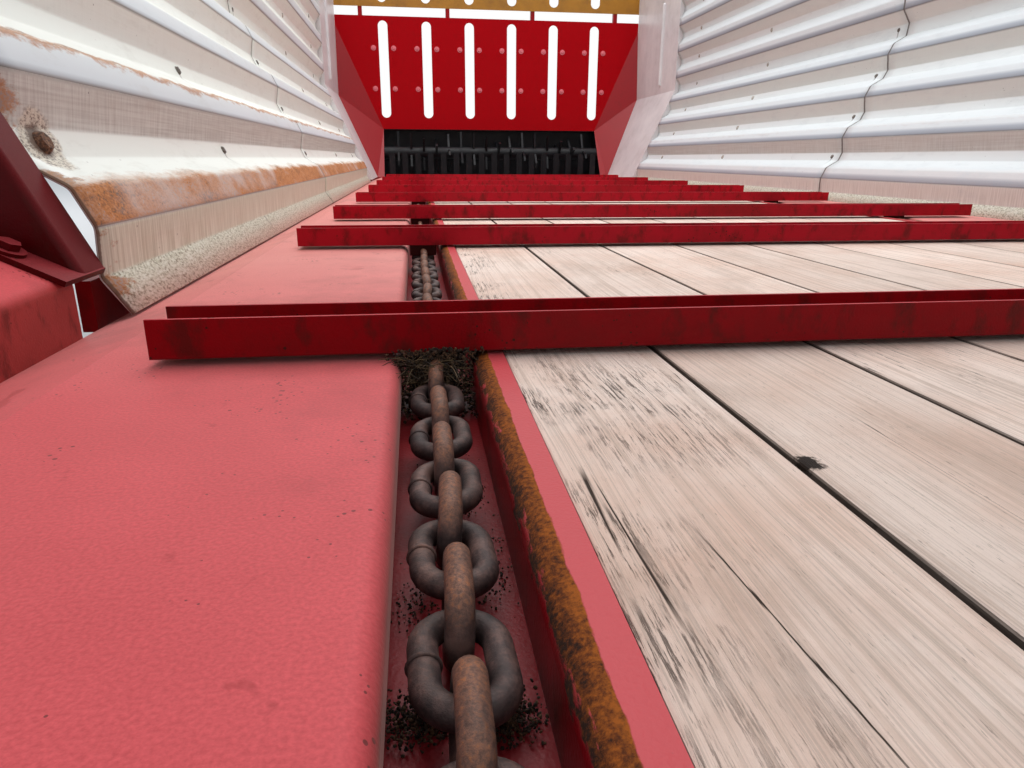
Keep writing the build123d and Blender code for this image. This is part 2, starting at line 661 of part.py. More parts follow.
def slot(x, z0, z1):
    """A round-ended upright slot through the front wall's plane."""
    y0, y1 = wall_y - 5, wall_y + FRONT_WALL_THICK + 5
    radius = SLOT_WIDTH / 2
    cut = block(x - radius, x + radius, y0, y1, z0 + radius, z1 - radius)
    for z in (z0 + radius, z1 - radius):
        cut += Pos(x, (y0 + y1) / 2, z) * Cylinder(radius, y1 - y0, rotation=(90, 0, 0))
    return cut


slot_places = [(i - (SLOT_COUNT - 1) / 2) * SLOT_PITCH for i in range(SLOT_COUNT)]
for x in slot_places:
    front_wall -= slot(x, FLOOR_Z + SLOT_FROM_Z, FLOOR_Z + SLOT_TO_Z)
    upper_wall -= slot(x, upper_z[0] + UPPER_SLOT_FOOT, upper_z[1] - UPPER_SLOT_HEAD)
save("front_wall", front_wall)
save("upper_front_wall", upper_wall)

# Wings: sheet flared from the mouth's sides out to the smooth side panels
lip_y = at(MOUTH_LIP_AT)
foot_half = WALL_FOOT_X - SHEET_THICK / SLOPE_COS - FIT
corners = {
    "mouth_top": (MOUTH_HALF, wall_y, FLOOR_Z + MOUTH_TOP_Z),
    "mouth_foot": (MOUTH_HALF, lip_y, FLOOR_Z),
    "side_foot": (foot_half, lip_y, FLOOR_Z),
    "knee": (half, wall_y - KNEE_SETBACK, FLOOR_Z + KNEE_Z),
    "side_top": (half, wall_y, corner_z),
}
WING_FACES = (
    ("mouth_top", "mouth_foot", "side_foot"),
    ("mouth_top", "side_foot", "knee"),
    ("mouth_top", "knee", "side_top"),
)
wing = None
for names in WING_FACES:
    wire = Polyline([corners[name] for name in names], close=True)
    plate = extrude(make_face(wire), amount=FRONT_WALL_THICK, dir=(0, 1, 0))
    wing = plate if wing is None else wing + plate
save_pair("mouth_wing", wing)

# Front frame: two posts, a cross tube over the mouth, a top tube and short ties
frame_y0 = wall_y + FRONT_WALL_THICK
frame_y1 = frame_y0 + FRAME_DEPTH
front_posts = along_y(post_line, frame_y0, frame_y1)
front_frame = front_posts + mirror(front_posts, about=Plane.YZ)
mouth_bar_x = WALL_FOOT_X + WALL_SLOPE * (MOUTH_TOP_Z + 40) + POST_INSET
mouth_bar_z = (FLOOR_Z + MOUTH_TOP_Z + 4, FLOOR_Z + SLOT_FROM_Z - 6)
front_frame += block(-mouth_bar_x, mouth_bar_x, frame_y0, frame_y1, *mouth_bar_z)
front_frame += block(-RAIL_X0, RAIL_X0, frame_y0, frame_y1, upper_top - TOP_TUBE_HEIGHT, upper_top)
for x in (-3, -1, 1, 3):
    tie = x * SLOT_PITCH
    tie_z = (FLOOR_Z + SLOT_FROM_Z - TIE_LAP, upper_top - TIE_LAP)
    front_frame += block(tie - TIE_WIDTH / 2, tie + TIE_WIDTH / 2, frame_y0, frame_y0 + TIE_DEPTH, *tie_z)
save("front_frame", front_frame)

# Front cross beam under the mouth's lip, and the comb of fingers on it
lip_beam = block(-SILL_OUT_X, SILL_OUT_X, lip_y, lip_y + BEAM_WIDTH, SILL_TOP, FLOOR_Z)
plate_z = FLOOR_Z - MOUTH_PLATE_THICK
lip_beam += block(-RAIL_EDGE_X, RAIL_EDGE_X, at(MOUTH_PLATE_FROM), lip_y, plate_z, FLOOR_Z)
save("mouth_beam", lip_beam)
bar_half = MOUTH_HALF - 4
fingers = block(-bar_half, bar_half, lip_y + 4, lip_y + 40, FLOOR_Z, FLOOR_Z + 6)
for i in range(FINGER_COUNT):
    x = (i - (FINGER_COUNT - 1) / 2) * FINGER_PITCH
    radius = FINGER_WIDTH / 2
    y0 = lip_y + FINGER_FROM_LIP
    tip_z = FLOOR_Z + FINGER_TOP_Z - radius
    finger = block(x - radius, x + radius, y0, y0 + FINGER_THICK, FLOOR_Z, tip_z)
    tip = Cylinder(radius, FINGER_THICK, rotation=(90, 0, 0))
    fingers += finger + Pos(x, y0 + FINGER_THICK / 2, tip_z) * tip
save("mouth_comb", fingers)

# Feed channel casing around the rotor, open below, with a bearing ring each side
casing_y0, casing_y1 = frame_y0, at(BED_LENGTH)
case_x = SILL_OUT_X - SILL_WIDTH
case_top = FLOOR_Z + MOUTH_TOP_Z
rotor_y, rotor_z = at(ROTOR_AT), FLOOR_Z + ROTOR_Z
bend = (case_x - 5 - MOUTH_HALF) / (foot_half - MOUTH_HALF)
bend_y = wall_y + bend * (lip_y - wall_y)
bend_z = FLOOR_Z + MOUTH_TOP_Z * (1 - bend)
casing = block(-case_x, case_x, frame_y0, casing_y1, case_top - 4, case_top)
casing += block(-case_x, case_x, casing_y1 - 4, casing_y1, 30, case_top)
side_outline = [
    (lip_y + 60, 30),
    (casing_y1, 30),
    (casing_y1, case_top),
    (frame_y0, case_top),
    (bend_y + 10, bend_z),
    (lip_y + 62, FLOOR_Z + 60),
]
for side in (-1, 1):
    x0, x1 = sorted((side * case_x, side * (case_x - 5)))
    casing += along_x(side_outline, x0, x1)
    x0, x1 = sorted((side * (case_x - 5), side * (case_x + 25)))
    casing += rod_x(x0, x1, rotor_y, rotor_z, 40)
    casing -= rod_x(x0 - 5, x1 + 5, rotor_y, rotor_z, ROTOR_SHAFT_R + 0.05)
save("feed_channel_casing", casing)

# Feed rotor: a tube with stars of tines that turn between the comb's fingers
rotor = rod_x(-case_x + 12, case_x - 12, rotor_y, rotor_z, ROTOR_TUBE_R)
rotor += rod_x(-case_x - 40, case_x + 50, rotor_y, rotor_z, ROTOR_SHAFT_R)
rotor += rod_x(case_x + 50, case_x + 50 + ROTOR_STUB, rotor_y, rotor_z, ROTOR_STUB_R)
for i in range(FINGER_COUNT - 1):
    x = (i - (FINGER_COUNT - 2) / 2) * FINGER_PITCH
    for arm in range(TINE_ARMS):
        turn = 360 * arm / TINE_ARMS + i * 22.5
        outline = [(-26, ROTOR_TUBE_R - 10), (26, ROTOR_TUBE_R - 10), (14, ROTOR_R - 22), (-12, ROTOR_R)]
        tine = along_x(outline, x - TINE_THICK / 2, x + TINE_THICK / 2)
        rotor += Pos(0, rotor_y, rotor_z) * Rot(turn, 0, 0) * tine
save("feed_rotor", rotor)

# Tailgate, drawn swung up: what lies behind the hinge when shut stands above it
hinge_y = at(HINGE_AT)
arm_x0, arm_x1 = RAIL_X0 + 10, RAIL_X1 - 6
gate_top = HINGE_Z + GATE_DEPTH


def gate_z(depth):
    return HINGE_Z + depth


def gate_y(drop):
    return hinge_y - drop


pin = rod_x(RAIL_X0 + 4, RAIL_X1 + 8, hinge_y, HINGE_Z, HINGE_PIN_R)
pin += block(RAIL_X1, RAIL_X1 + 8, hinge_y - 30, hinge_y + 130, HINGE_Z - 30, HINGE_Z + 30)
pin += rod_x(RAIL_X1 + 8, RAIL_X1 + 15, hinge_y, HINGE_Z, 17)
save_pair("gate_hinge_pin", pin)

arm = block(arm_x0, arm_x1, hinge_y - 22, hinge_y + 22, gate_z(0), gate_z(GATE_DEPTH))
arm += rod_x(arm_x0, arm_x1, hinge_y, HINGE_Z, 22)
arm -= rod_x(arm_x0 - 5, arm_x1 + 5, hinge_y, HINGE_Z, HINGE_PIN_R + 0.05)
frame_z0, frame_z1 = gate_z(GATE_DEPTH), gate_z(GATE_DEPTH + GATE_TUBE)
drop_knee = WALL_TOP_Z - HINGE_BELOW_TOP - KNEE_Z
shut_foot = WALL_FOOT_X + WALL_SLOPE * (WALL_TOP_Z - HINGE_BELOW_TOP - GATE_DROP) + POST_INSET


def gate_bar(line, width):
    """A flat tube that follows (x, y) points, thick towards the middle."""
    points = line + offset_line(line, width)[::-1]
    wire = Polyline([(x, y, frame_z0) for x, y in points], close=True)
    return extrude(make_face(wire), amount=GATE_TUBE, dir=(0, 0, 1))


side_line = [(arm_x1, gate_y(-22)), (arm_x1, gate_y(drop_knee)), (shut_foot + 20, gate_y(GATE_DROP))]
side_bar = gate_bar(side_line, GATE_TUBE)
gate_frame = arm + mirror(arm, about=Plane.YZ) + side_bar + mirror(side_bar, about=Plane.YZ)
GATE_BARS = (-22, 440, drop_knee, GATE_DROP - GATE_TUBE)
for drop in GATE_BARS:
    low = arm_x1 - GATE_TUBE if drop <= drop_knee else shut_foot - 10
    gate_frame += block(-low, low, gate_y(drop + GATE_TUBE), gate_y(drop), frame_z0, frame_z1)
for x in (-300, 300):
    gate_frame += block(x - 20, x + 20, gate_y(GATE_DROP), gate_y(0), frame_z0, frame_z1)
save("tailgate_frame", gate_frame)
skin = side_line + [(-x, y) for x, y in side_line[::-1]]
wire = Polyline([(x, y, frame_z0 - SHEET_THICK) for x, y in skin], close=True)
gate_sheet = extrude(make_face(wire), amount=SHEET_THICK, dir=(0, 0, 1))
for side in (-1, 1):
    x0, x1 = sorted((side * (arm_x0 - 1), side * (arm_x1 + 1)))
    gate_sheet -= block(x0, x1, hinge_y - 22, hinge_y + 30, frame_z0 - 9, frame_z1)
save("tailgate_sheet", gate_sheet)
cheek_line = [
    (gate_y(22), gate_z(40)),
    (gate_y(drop_knee), gate_z(300)),
    (gate_y(drop_knee), frame_z0 - SHEET_THICK),
    (gate_y(22), frame_z0 - SHEET_THICK),
]
cheek = along_x(cheek_line, arm_x0 + 15, arm_x0 + 15 + SHEET_THICK)
save_pair("tailgate_cheek", cheek)
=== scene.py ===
import math
import random

import bmesh
import bpy
from mathutils import Matrix, Vector, noise


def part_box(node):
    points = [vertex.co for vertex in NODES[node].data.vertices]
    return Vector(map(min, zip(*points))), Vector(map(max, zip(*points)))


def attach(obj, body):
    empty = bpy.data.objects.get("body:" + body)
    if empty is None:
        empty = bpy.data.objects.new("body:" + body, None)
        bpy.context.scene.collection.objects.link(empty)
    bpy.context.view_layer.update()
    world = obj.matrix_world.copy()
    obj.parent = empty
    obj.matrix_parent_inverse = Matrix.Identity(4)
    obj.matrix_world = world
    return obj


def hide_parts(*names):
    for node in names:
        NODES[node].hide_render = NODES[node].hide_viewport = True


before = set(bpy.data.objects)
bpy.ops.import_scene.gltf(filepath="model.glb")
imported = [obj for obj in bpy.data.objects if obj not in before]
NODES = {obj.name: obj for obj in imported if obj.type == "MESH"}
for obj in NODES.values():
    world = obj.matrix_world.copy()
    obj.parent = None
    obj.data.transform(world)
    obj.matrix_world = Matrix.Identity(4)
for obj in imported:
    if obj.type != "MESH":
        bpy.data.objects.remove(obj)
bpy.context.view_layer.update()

# The viewpoint: low inside the open rear end, left of the middle, looking forward
# and slightly down over the near chain, as a person kneeling at the tail would.
VIEW_AT = Vector((-0.577537, -2.3925, 0.355741))
YAW, PITCH, ROLL = (math.radians(angle) for angle in (7.68, 17.781, 0.301))
FOCAL_PIXELS, FRAME_PIXELS, SENSOR_MM = 703.36, 1024, 36.0
NEAREST, FARTHEST = 0.01, 60
forward = Vector((math.sin(YAW) * math.cos(PITCH),
                  math.cos(YAW) * math.cos(PITCH),
                  -math.sin(PITCH)))
level = Vector((math.cos(YAW), -math.sin(YAW), 0))
upward = level.cross(forward)
right = level * math.cos(ROLL) + upward * math.sin(ROLL)
top = upward * math.cos(ROLL) - level * math.sin(ROLL)
lens = bpy.data.cameras.new("viewpoint")
lens.sensor_fit = "HORIZONTAL"
lens.sensor_width = SENSOR_MM
lens.lens = FOCAL_PIXELS / FRAME_PIXELS * SENSOR_MM
lens.clip_start, lens.clip_end = NEAREST, FARTHEST
viewpoint = bpy.data.objects.new("viewpoint", lens)
turn = Matrix((right, top, -forward)).transposed().to_4x4()
viewpoint.matrix_world = Matrix.Translation(VIEW_AT) @ turn
scene = bpy.context.scene
scene.collection.objects.link(viewpoint)
scene.camera = viewpoint


def linear(code):
    """An sRGB hex colour as linear RGBA."""
    channels = [int(code[i:i + 2], 16) / 255 for i in (1, 3, 5)]
    return [c / 12.92 if c <= 0.04045 else ((c + 0.055) / 1.055) ** 2.4
            for c in channels] + [1.0]


def feed(tree, node, inputs):
    """Gives a node's inputs, by name or in order, a number, a colour code, a node or a socket."""
    live = [socket for socket in node.inputs if socket.enabled]
    for key, value in inputs.items() if isinstance(inputs, dict) else enumerate(inputs):
        socket = live[key] if isinstance(key, int) else next(s for s in live if s.name == key)
        if isinstance(value, bpy.types.Node):
            value = next(s for s in value.outputs if s.enabled)
        if isinstance(value, bpy.types.NodeSocket):
            tree.links.new(value, socket)
        elif isinstance(value, str) and value.startswith("#"):
            socket.default_value = linear(value)
        else:
            socket.default_value = value


def add(tree, kind, inputs=(), stops=(), **settings):
    """One node with its settings, its links and a ramp's stops as (spot, colour). A word
    after its kind is its operation, or for Mix what it mixes."""
    kind, _, mode = kind.partition(" ")
    node = tree.nodes.new(kind if "Node" in kind else "ShaderNode" + kind)
    if mode:
        setattr(node, "data_type" if kind == "Mix" else "operation", mode)
    for name, value in settings.items():
        setattr(node, name, value)
    for number, (spot, code) in enumerate(stops):
        ramp = node.color_ramp.elements
        stop = ramp[number] if number < len(ramp) else ramp.new(1.0)
        stop.position, stop.color = spot, linear(code)
    feed(tree, node, inputs)
    return node


def finish(name):
    """A new material, its node tree and its shader."""
    material = bpy.data.materials.new(name)
    material.use_nodes = True
    return material, material.node_tree, material.node_tree.nodes["Principled BSDF"]


def place(name, mesh, materials=(), smooth=True):
    """A new object at the origin for a finished mesh."""
    piece = bpy.data.objects.new(name, mesh)
    scene.collection.objects.link(piece)
    for material in materials:
        mesh.materials.append(material)
    for face in mesh.polygons:
        face.use_smooth = smooth
    return piece


# The studio: a pale matt floor, a soft sky that is brightest overhead, and one wide
# soft lamp, as under thin cloud. Camera, gloss and glass see plain white behind the bed.
FLOOR_COLOUR, SKY_COLOUR, WHITE = "#D9DADB", "#E6ECF2", "#FFFFFF"
ZENITH_STRENGTH, HORIZON_STRENGTH = 0.98, 0.40
LAMP_WATTS, LAMP_WIDTH, LAMP_LENGTH, LAMP_AT = 310, 4.0, 8.0, (0.0, 0.4, 5.2)
FLOOR_HALF, FLOOR_BELOW = 30, -0.001
floor_paint, tree, shader = finish("matt_studio_floor")
feed(tree, shader, {"Base Color": FLOOR_COLOUR, "Roughness": 0.9})
ground = bpy.data.meshes.new("studio_floor")
ground.from_pydata([(x * FLOOR_HALF, y * FLOOR_HALF, FLOOR_BELOW)
                    for x, y in ((-1, -1), (1, -1), (1, 1), (-1, 1))], [], [(0, 1, 2, 3)])
studio_floor = place("studio_floor", ground, [floor_paint], smooth=False)
sky = bpy.data.worlds.new("soft_sky")
sky.use_nodes = True
scene.world = sky
tree = sky.node_tree
tree.nodes.clear()
aim = add(tree, "SeparateXYZ", (add(tree, "TexCoord").outputs["Generated"],))
strength = add(tree, "MapRange", (aim.outputs["Z"], 0.0, 1.0, HORIZON_STRENGTH, ZENITH_STRENGTH))
light_path = add(tree, "LightPath")
seen = add(tree, "Math MAXIMUM", (light_path.outputs["Is Camera Ray"], light_path.outputs["Is Glossy Ray"]))
seen = add(tree, "Math MAXIMUM", (seen, light_path.outputs["Is Transmission Ray"]))
soft_light = add(tree, "Background", {"Color": SKY_COLOUR, "Strength": strength})
plain_white = add(tree, "Background", {"Color": WHITE, "Strength": 1.0})
add(tree, "OutputWorld", {"Surface": add(tree, "MixShader", (seen, soft_light, plain_white))})
lamp_data = bpy.data.lights.new("overhead_softbox", "AREA")
lamp_data.shape = "RECTANGLE"
lamp_data.size, lamp_data.size_y = LAMP_WIDTH, LAMP_LENGTH
lamp_data.energy = LAMP_WATTS
lamp = bpy.data.objects.new("overhead_softbox", lamp_data)
lamp.location = LAMP_AT
scene.collection.objects.link(lamp)
scene.view_settings.view_transform = "Standard"


# Red paint: alkyd enamel on folded steel sheet and tube, sprayed and oven-dried. It is
# satin, deep red on upright faces, and pink where road dust has settled on what faces
# up, with brown grime in patches, small dark specks and scuffs.
RED, DUSTY_RED, PALE_DUST_AND_SHEEN, GRIME_AND_SHADE = "#930811", "#DC585E", "#EEBBAE", "#3B1A14"
# GRIME_AND_SHADE is also the colour of the painted shadow under parts. Between these y the red turns lighter
# and the dust paler, painted light and painted sheen
FAR_LIGHT_FROM_Y, FAR_LIGHT_TO_Y = -2.0, -1.4
RUST_BLACK, RUST_BROWN, RUST_ORANGE = "#2C1B14", "#643418", "#9B551F"


def red_enamel(name, dust, grime, deep=RED, gloss=0.2, bloom=0.0, rail=False, far_lit_red=None,
               shadow_below_height=None):
    """The red finish. Dust lies on top and bloom is its glow at a low angle, from the shader; with bloom the
    red is also painted paler away from the rear end, dust with a painted sheen. rail adds the rubbed rail
    edge, far_lit_red is a lighter red far from the rear end, painted light, shadow_below_height a height
    below which the paint is painted dark as the shadow under a part."""
    paint, tree, shader = finish(name)
    where = add(tree, "TexCoord").outputs["Object"]
    spot = add(tree, "SeparateXYZ", (where,))
    facing = add(tree, "SeparateXYZ", (add(tree, "NewGeometry").outputs["Normal"],))
    cloud = add(tree, "TexNoise", {"Vector": where, "Scale": 7.0, "Detail": 7.0, "Roughness": 0.62})
    fine = add(tree, "TexNoise", {"Vector": where, "Scale": 600.0, "Detail": 2.0})
    upper = add(tree, "MapRange", (facing.outputs["Z"], 0.15, 0.95, 0.0, dust))
    uneven = add(tree, "MapRange", (cloud, 0.3, 0.7, 0.8, 1.05))
    film = add(tree, "Math MULTIPLY", (upper, uneven))
    speck = add(tree, "MapRange", (fine, 0.3, 0.7, 0.76, 1.16))
    film = add(tree, "Math MULTIPLY", (film, speck))
    swept = add(tree, "Mapping", {"Vector": where, "Scale": (26.0, 19.0, 26.0)})
    swept = add(tree, "TexNoise",
                {"Vector": swept, "Scale": 1.0, "Detail": 4.0, "Roughness": 0.55, "Distortion": 0.6})
    scuff = add(tree, "MapRange", (swept, 0.665, 0.69, 1.0, 0.62))
    film = add(tree, "Math MULTIPLY", (film, scuff), use_clamp=True)
    ahead = add(tree, "MapRange", (spot.outputs["Y"], FAR_LIGHT_FROM_Y, FAR_LIGHT_TO_Y))
    # Far from the rear end the red turns lighter: painted light, as the rear end lies in shade
    if far_lit_red:
        deep = add(tree, "Mix RGBA", (ahead, deep, far_lit_red))
    colour = add(tree, "Mix RGBA", (film, deep, DUSTY_RED))
    if bloom:
        # Paler away from the rear end: dust, with a painted sheen as at a low angle
        far_dust_and_sheen = add(tree, "Math MULTIPLY", (ahead, 0.5))
        far_dust_and_sheen = add(tree, "Math MULTIPLY", (far_dust_and_sheen, film))
        colour = add(tree, "Mix RGBA", (far_dust_and_sheen, colour, PALE_DUST_AND_SHEEN))
    dots = add(tree, "TexVoronoi", {"Vector": where, "Scale": 210.0, "Randomness": 1.0})
    few = add(tree, "TexNoise", {"Vector": where, "Scale": 24.0, "Detail": 3.0, "Roughness": 0.6})
    dot_size = add(tree, "MapRange", (few, 0.52, 0.72, 0.0, 0.3))
    dot = add(tree, "Math LESS_THAN", (dots, dot_size))
    dot = add(tree, "Math MULTIPLY", (dot, min(1.0, grime * 1.6)))
    patch = add(tree, "TexNoise", {"Vector": where, "Scale": 3.4, "Detail": 9.0, "Roughness": 0.72})
    soiled = add(tree, "MapRange", (patch, 0.5, 0.72, 0.0, grime * 0.9))
    runs = add(tree, "Mapping", {"Vector": where, "Scale": (42.0, 42.0, 24.0)})
    runs = add(tree, "TexNoise", {"Vector": runs, "Scale": 1.0, "Detail": 7.0, "Roughness": 0.65})
    upright = add(tree, "MapRange", (facing.outputs["Z"], 0.0, 0.5, grime * 1.1, 0.0))
    streak = add(tree, "MapRange", (runs, 0.49, 0.64))
    streak = add(tree, "Math MULTIPLY", (streak, upright))
    dirt_and_shade = add(tree, "Math MAXIMUM", (add(tree, "Math MAXIMUM", (dot, soiled)), streak))
    # Below the given height the paint is painted dark, as the shadow under a part
    if shadow_below_height:
        low = add(tree, "MapRange",
                  (spot.outputs["Z"], shadow_below_height - 0.001, shadow_below_height + 0.002, 0.9, 0.0))
        dirt_and_shade = add(tree, "Math MAXIMUM", (dirt_and_shade, low))
    colour = add(tree, "Mix RGBA", (dirt_and_shade, colour, GRIME_AND_SHADE))
    rough = add(tree, "MapRange", (film, 0.0, 1.0, 0.34, 0.6))
    height = add(tree, "Math MULTIPLY_ADD", (dirt_and_shade, 0.6, fine))
    if rail:
        # The rubbed edge is 18 mm of the bend: straight beside the planks, ragged inside.
        past = add(tree, "Math SUBTRACT", (add(tree, "Math ABSOLUTE", (spot.outputs["X"],)), RAIL_BEND_X))
        below = add(tree, "Math SUBTRACT", (RAIL_TOP_Z, spot.outputs["Z"]))
        girth = add(tree, "Math ADD", (past, below))
        ledge = add(tree, "MapRange", (below, 0.002, 0.006, 0.75, 0.0))
        colour = add(tree, "Mix RGBA", (ledge, colour, DUSTY_RED))
        ragged = add(tree, "Mapping", {"Vector": where, "Scale": (150.0, 45.0, 150.0)})
        ragged = add(tree, "TexNoise", {"Vector": ragged, "Scale": 1.0, "Detail": 8.0, "Roughness": 0.68})
        wander = add(tree, "Math SUBTRACT", (ragged, 0.5))
        inner = add(tree, "Math MULTIPLY_ADD", (wander, 0.034, girth))
        inner = add(tree, "MapRange", (inner, 0.015, 0.0175, 1.0, 0.0))
        outer = add(tree, "Math MULTIPLY_ADD", (wander, 0.0045, girth))
        outer = add(tree, "MapRange", (outer, 0.0, 0.0006))
        worn = add(tree, "Math MULTIPLY", (inner, outer))
        grain = add(tree, "TexNoise", {"Vector": where, "Scale": 420.0, "Detail": 6.0, "Roughness": 0.75})
        shade = add(tree, "MapRange", (girth, 0.0, 0.016, 0.13, -0.13))
        shade = add(tree, "Math ADD", (grain, shade))
        shade = add(tree, "Math MULTIPLY_ADD", (wander, 0.45, shade))
        rust = add(tree, "ValToRGB", (shade,),
                   stops=((0.36, RUST_BLACK), (0.5, RUST_BROWN), (0.69, RUST_ORANGE)))
        colour = add(tree, "Mix RGBA", (worn, colour, rust.outputs["Color"]))
        rough = add(tree, "Mix FLOAT", (worn, rough, 0.88))
        pitted = add(tree, "Math MULTIPLY", (worn, -1.5))
        height = add(tree, "Math MULTIPLY_ADD", (pitted, grain, height))
    bump = add(tree, "Bump", {"Height": height, "Strength": 0.3, "Distance": 0.0006})
    feed(tree, shader, {"Base Color": colour, "Roughness": rough, "Normal": bump, "Specular IOR Level": gloss,
                        "Sheen Weight": bloom, "Sheen Roughness": 0.5, "Sheen Tint": "#FFD6CC"})
    return paint


def coat(material, *names):
    """Gives CAD nodes their finish."""
    for name in names:
        mesh = NODES[name].data
        mesh.materials.clear()
        mesh.materials.append(material)


def sides(name):
    """A node's name on the left and on the right."""
    return f"left_{name}", f"right_{name}"


# The floor sheet's red is painted paler away from the rear end, dust with a painted sheen
floor_red = red_enamel("red_enamel_on_floor_sheet", dust=0.92, grime=0.44, bloom=0.28)
frame_red = red_enamel("red_enamel_on_frame", dust=0.6, grime=0.4)
wall_red = red_enamel("red_enamel_on_front_wall", dust=0.2, grime=0.08, deep="#A3030E", gloss=0.06)
coat(floor_red, *sides("edge_panel"), "mouth_beam")
coat(frame_red, *sides("sill"), *sides("wall_posts"), *sides("top_rail"), "cross_members", "front_frame",
     "tailgate_frame")
coat(wall_red, "front_wall")
# The mouth wings' red is painted darker than the front wall's, as their shade.
shaded_wing_red = red_enamel("red_enamel_painted_shade_on_mouth_wings", dust=0.1, grime=0.15, deep="#8E0712", gloss=0.3)
coat(shaded_wing_red, *sides("mouth_wing"))

# Rear corners: a leaning U post on its foot plate, its red painted dark as its shade, and a box rail folded
# from sheet beside the floor, a paler brownish red streaked brown by mud.
shaded_post_red = red_enamel("red_enamel_painted_shade_on_rear_posts", dust=0.3, grime=0.35, deep="#4E0308", gloss=0.1)
coat(shaded_post_red, *sides("rear_post"))
box_red = red_enamel("pale_brownish_red_enamel", dust=0.9, grime=0.5, deep="#A8403D", gloss=0.1)
coat(box_red, *sides("rear_box_rail"))

# Chain troughs: red sheet folded up beside the planks as the rail that the chain runs
# along. The slats have rubbed the rail's rounded edge down to brown and orange rust.
RAIL_BEND_X, RAIL_TOP_Z = 0.5312, 0.227
# The trough's red is painted darker, as the shade in the narrow channel.
shaded_trough_red = red_enamel("red_enamel_painted_shade_on_chain_trough", dust=0.1, grime=0.8, deep="#760C14", gloss=0.15,
                        rail=True)
coat(shaded_trough_red, *sides("chain_trough"))

# Slats: red enamelled U channels, deep red on their faces, painted darker as shade near the rear end and
# lighter ahead as painted light, dusty pink on their edges. Below the slats the clips that hold the chain are
# painted dark as the shadow under the slats.
SLAT_FOOT_Z = 0.2295
slat_red_with_painted_shade = red_enamel("red_enamel_with_painted_shade_on_slats", dust=0.62, grime=0.58, deep="#83050D", gloss=0.1,
                      far_lit_red="#A81222", shadow_below_height=SLAT_FOOT_Z)
coat(slat_red_with_painted_shade, "floor_slats")
coat(frame_red, "returning_slats")

# Scraper chains: 10 x 31 mm round links, bent from steel rod and butt-welded. They are
# dark brown-grey where they lie and rusted brown on the upper ends of the upright ones.
LINK_WIRE, LINK_PITCH, LINK_WIDTH = 0.010, 0.031, 0.034
CHAIN_X, FLOOR_Z, REAR_END = 0.568, 0.225, -2.4825
SPROCKET_TEETH, SLAT_COUNT, LINKS_PER_SLAT = 7, 17, 20
EVEN_SLATS, LINKS_EARLY = 2, 4
REAR_SHAFT_Y, FIRST_SLAT_Y = REAR_END + 0.120, REAR_END + 0.579
CHAIN_Z = FLOOR_Z - LINK_WIDTH / 2
WHEEL_R = SPROCKET_TEETH * 2 * LINK_PITCH / (2 * math.pi)
SHAFT_Z = CHAIN_Z - WHEEL_R
LOOP = SLAT_COUNT * LINKS_PER_SLAT * LINK_PITCH
RUN = (LOOP - 2 * math.pi * WHEEL_R) / 2
FINE_FROM_Y, FINE_TO_Y = -2.40, -0.95
link_steel, tree, shader = finish("rusted_round_link_steel")
where = add(tree, "TexCoord").outputs["Object"]
spot = add(tree, "SeparateXYZ", (where,))
facing = add(tree, "SeparateXYZ", (add(tree, "NewGeometry").outputs["Normal"],))
cloud = add(tree, "TexNoise", {"Vector": where, "Scale": 70.0, "Detail": 8.0, "Roughness": 0.7})
pits = add(tree, "TexNoise", {"Vector": where, "Scale": 520.0, "Detail": 5.0, "Roughness": 0.7})
base = add(tree, "ValToRGB", (cloud,), stops=((0.38, "#261D1D"), (0.5, "#443331"), (0.62, "#6A4F48")))
stands = add(tree, "MapRange", (spot.outputs["Z"], CHAIN_Z + 0.004, CHAIN_Z + 0.014))
up = add(tree, "MapRange", (facing.outputs["Z"], -0.3, 0.8, 0.3, 1.0))
broken = add(tree, "MapRange", (cloud, 0.36, 0.56, 0.45, 1.0))
rubbed = add(tree, "Math MULTIPLY", (add(tree, "Math MULTIPLY", (stands, up)), broken))
brown = add(tree, "ValToRGB", (pits,), stops=((0.38, "#56382B"), (0.52, "#7A5240"), (0.68, "#A06238")))
colour = add(tree, "Mix RGBA", (rubbed, base.outputs["Color"], brown.outputs["Color"]))
bump = add(tree, "Bump", {"Height": pits, "Strength": 0.6, "Distance": 0.0005})
feed(tree, shader, {"Base Color": colour, "Normal": bump, "Roughness": 0.6, "Metallic": 0.25})


def chain_place(travel):
    """Where a link's middle is on the loop, and how far the chain has turned there."""
    arc = math.pi * WHEEL_R
    travel = travel % LOOP
    if travel < RUN:
        return REAR_SHAFT_Y + travel, CHAIN_Z, 0.0
    if travel < RUN + arc:
        angle = math.pi / 2 - (travel - RUN) / WHEEL_R
        return (REAR_SHAFT_Y + RUN + WHEEL_R * math.cos(angle), SHAFT_Z + WHEEL_R * math.sin(angle),
                angle - math.pi / 2)
    if travel < 2 * RUN + arc:
        return REAR_SHAFT_Y + RUN - (travel - RUN - arc), SHAFT_Z - WHEEL_R, math.pi
    angle = -math.pi / 2 - (travel - 2 * RUN - arc) / WHEEL_R
    return REAR_SHAFT_Y + WHEEL_R * math.cos(angle), SHAFT_Z + WHEEL_R * math.sin(angle), angle - math.pi / 2


def points_mesh(name, places, turns, sizes=None):
    """Loose points, each with the turn and the size that its copy of a shape gets."""
    mesh = bpy.data.meshes.new(name)
    mesh.from_pydata(places, [], [])
    mesh.attributes.new("turn", "FLOAT_VECTOR", "POINT")
    mesh.attributes.new("size", "FLOAT", "POINT")
    for i, euler in enumerate(turns):
        mesh.attributes["turn"].data[i].vector = euler
        mesh.attributes["size"].data[i].value = sizes[i] if sizes else 1.0
    return mesh


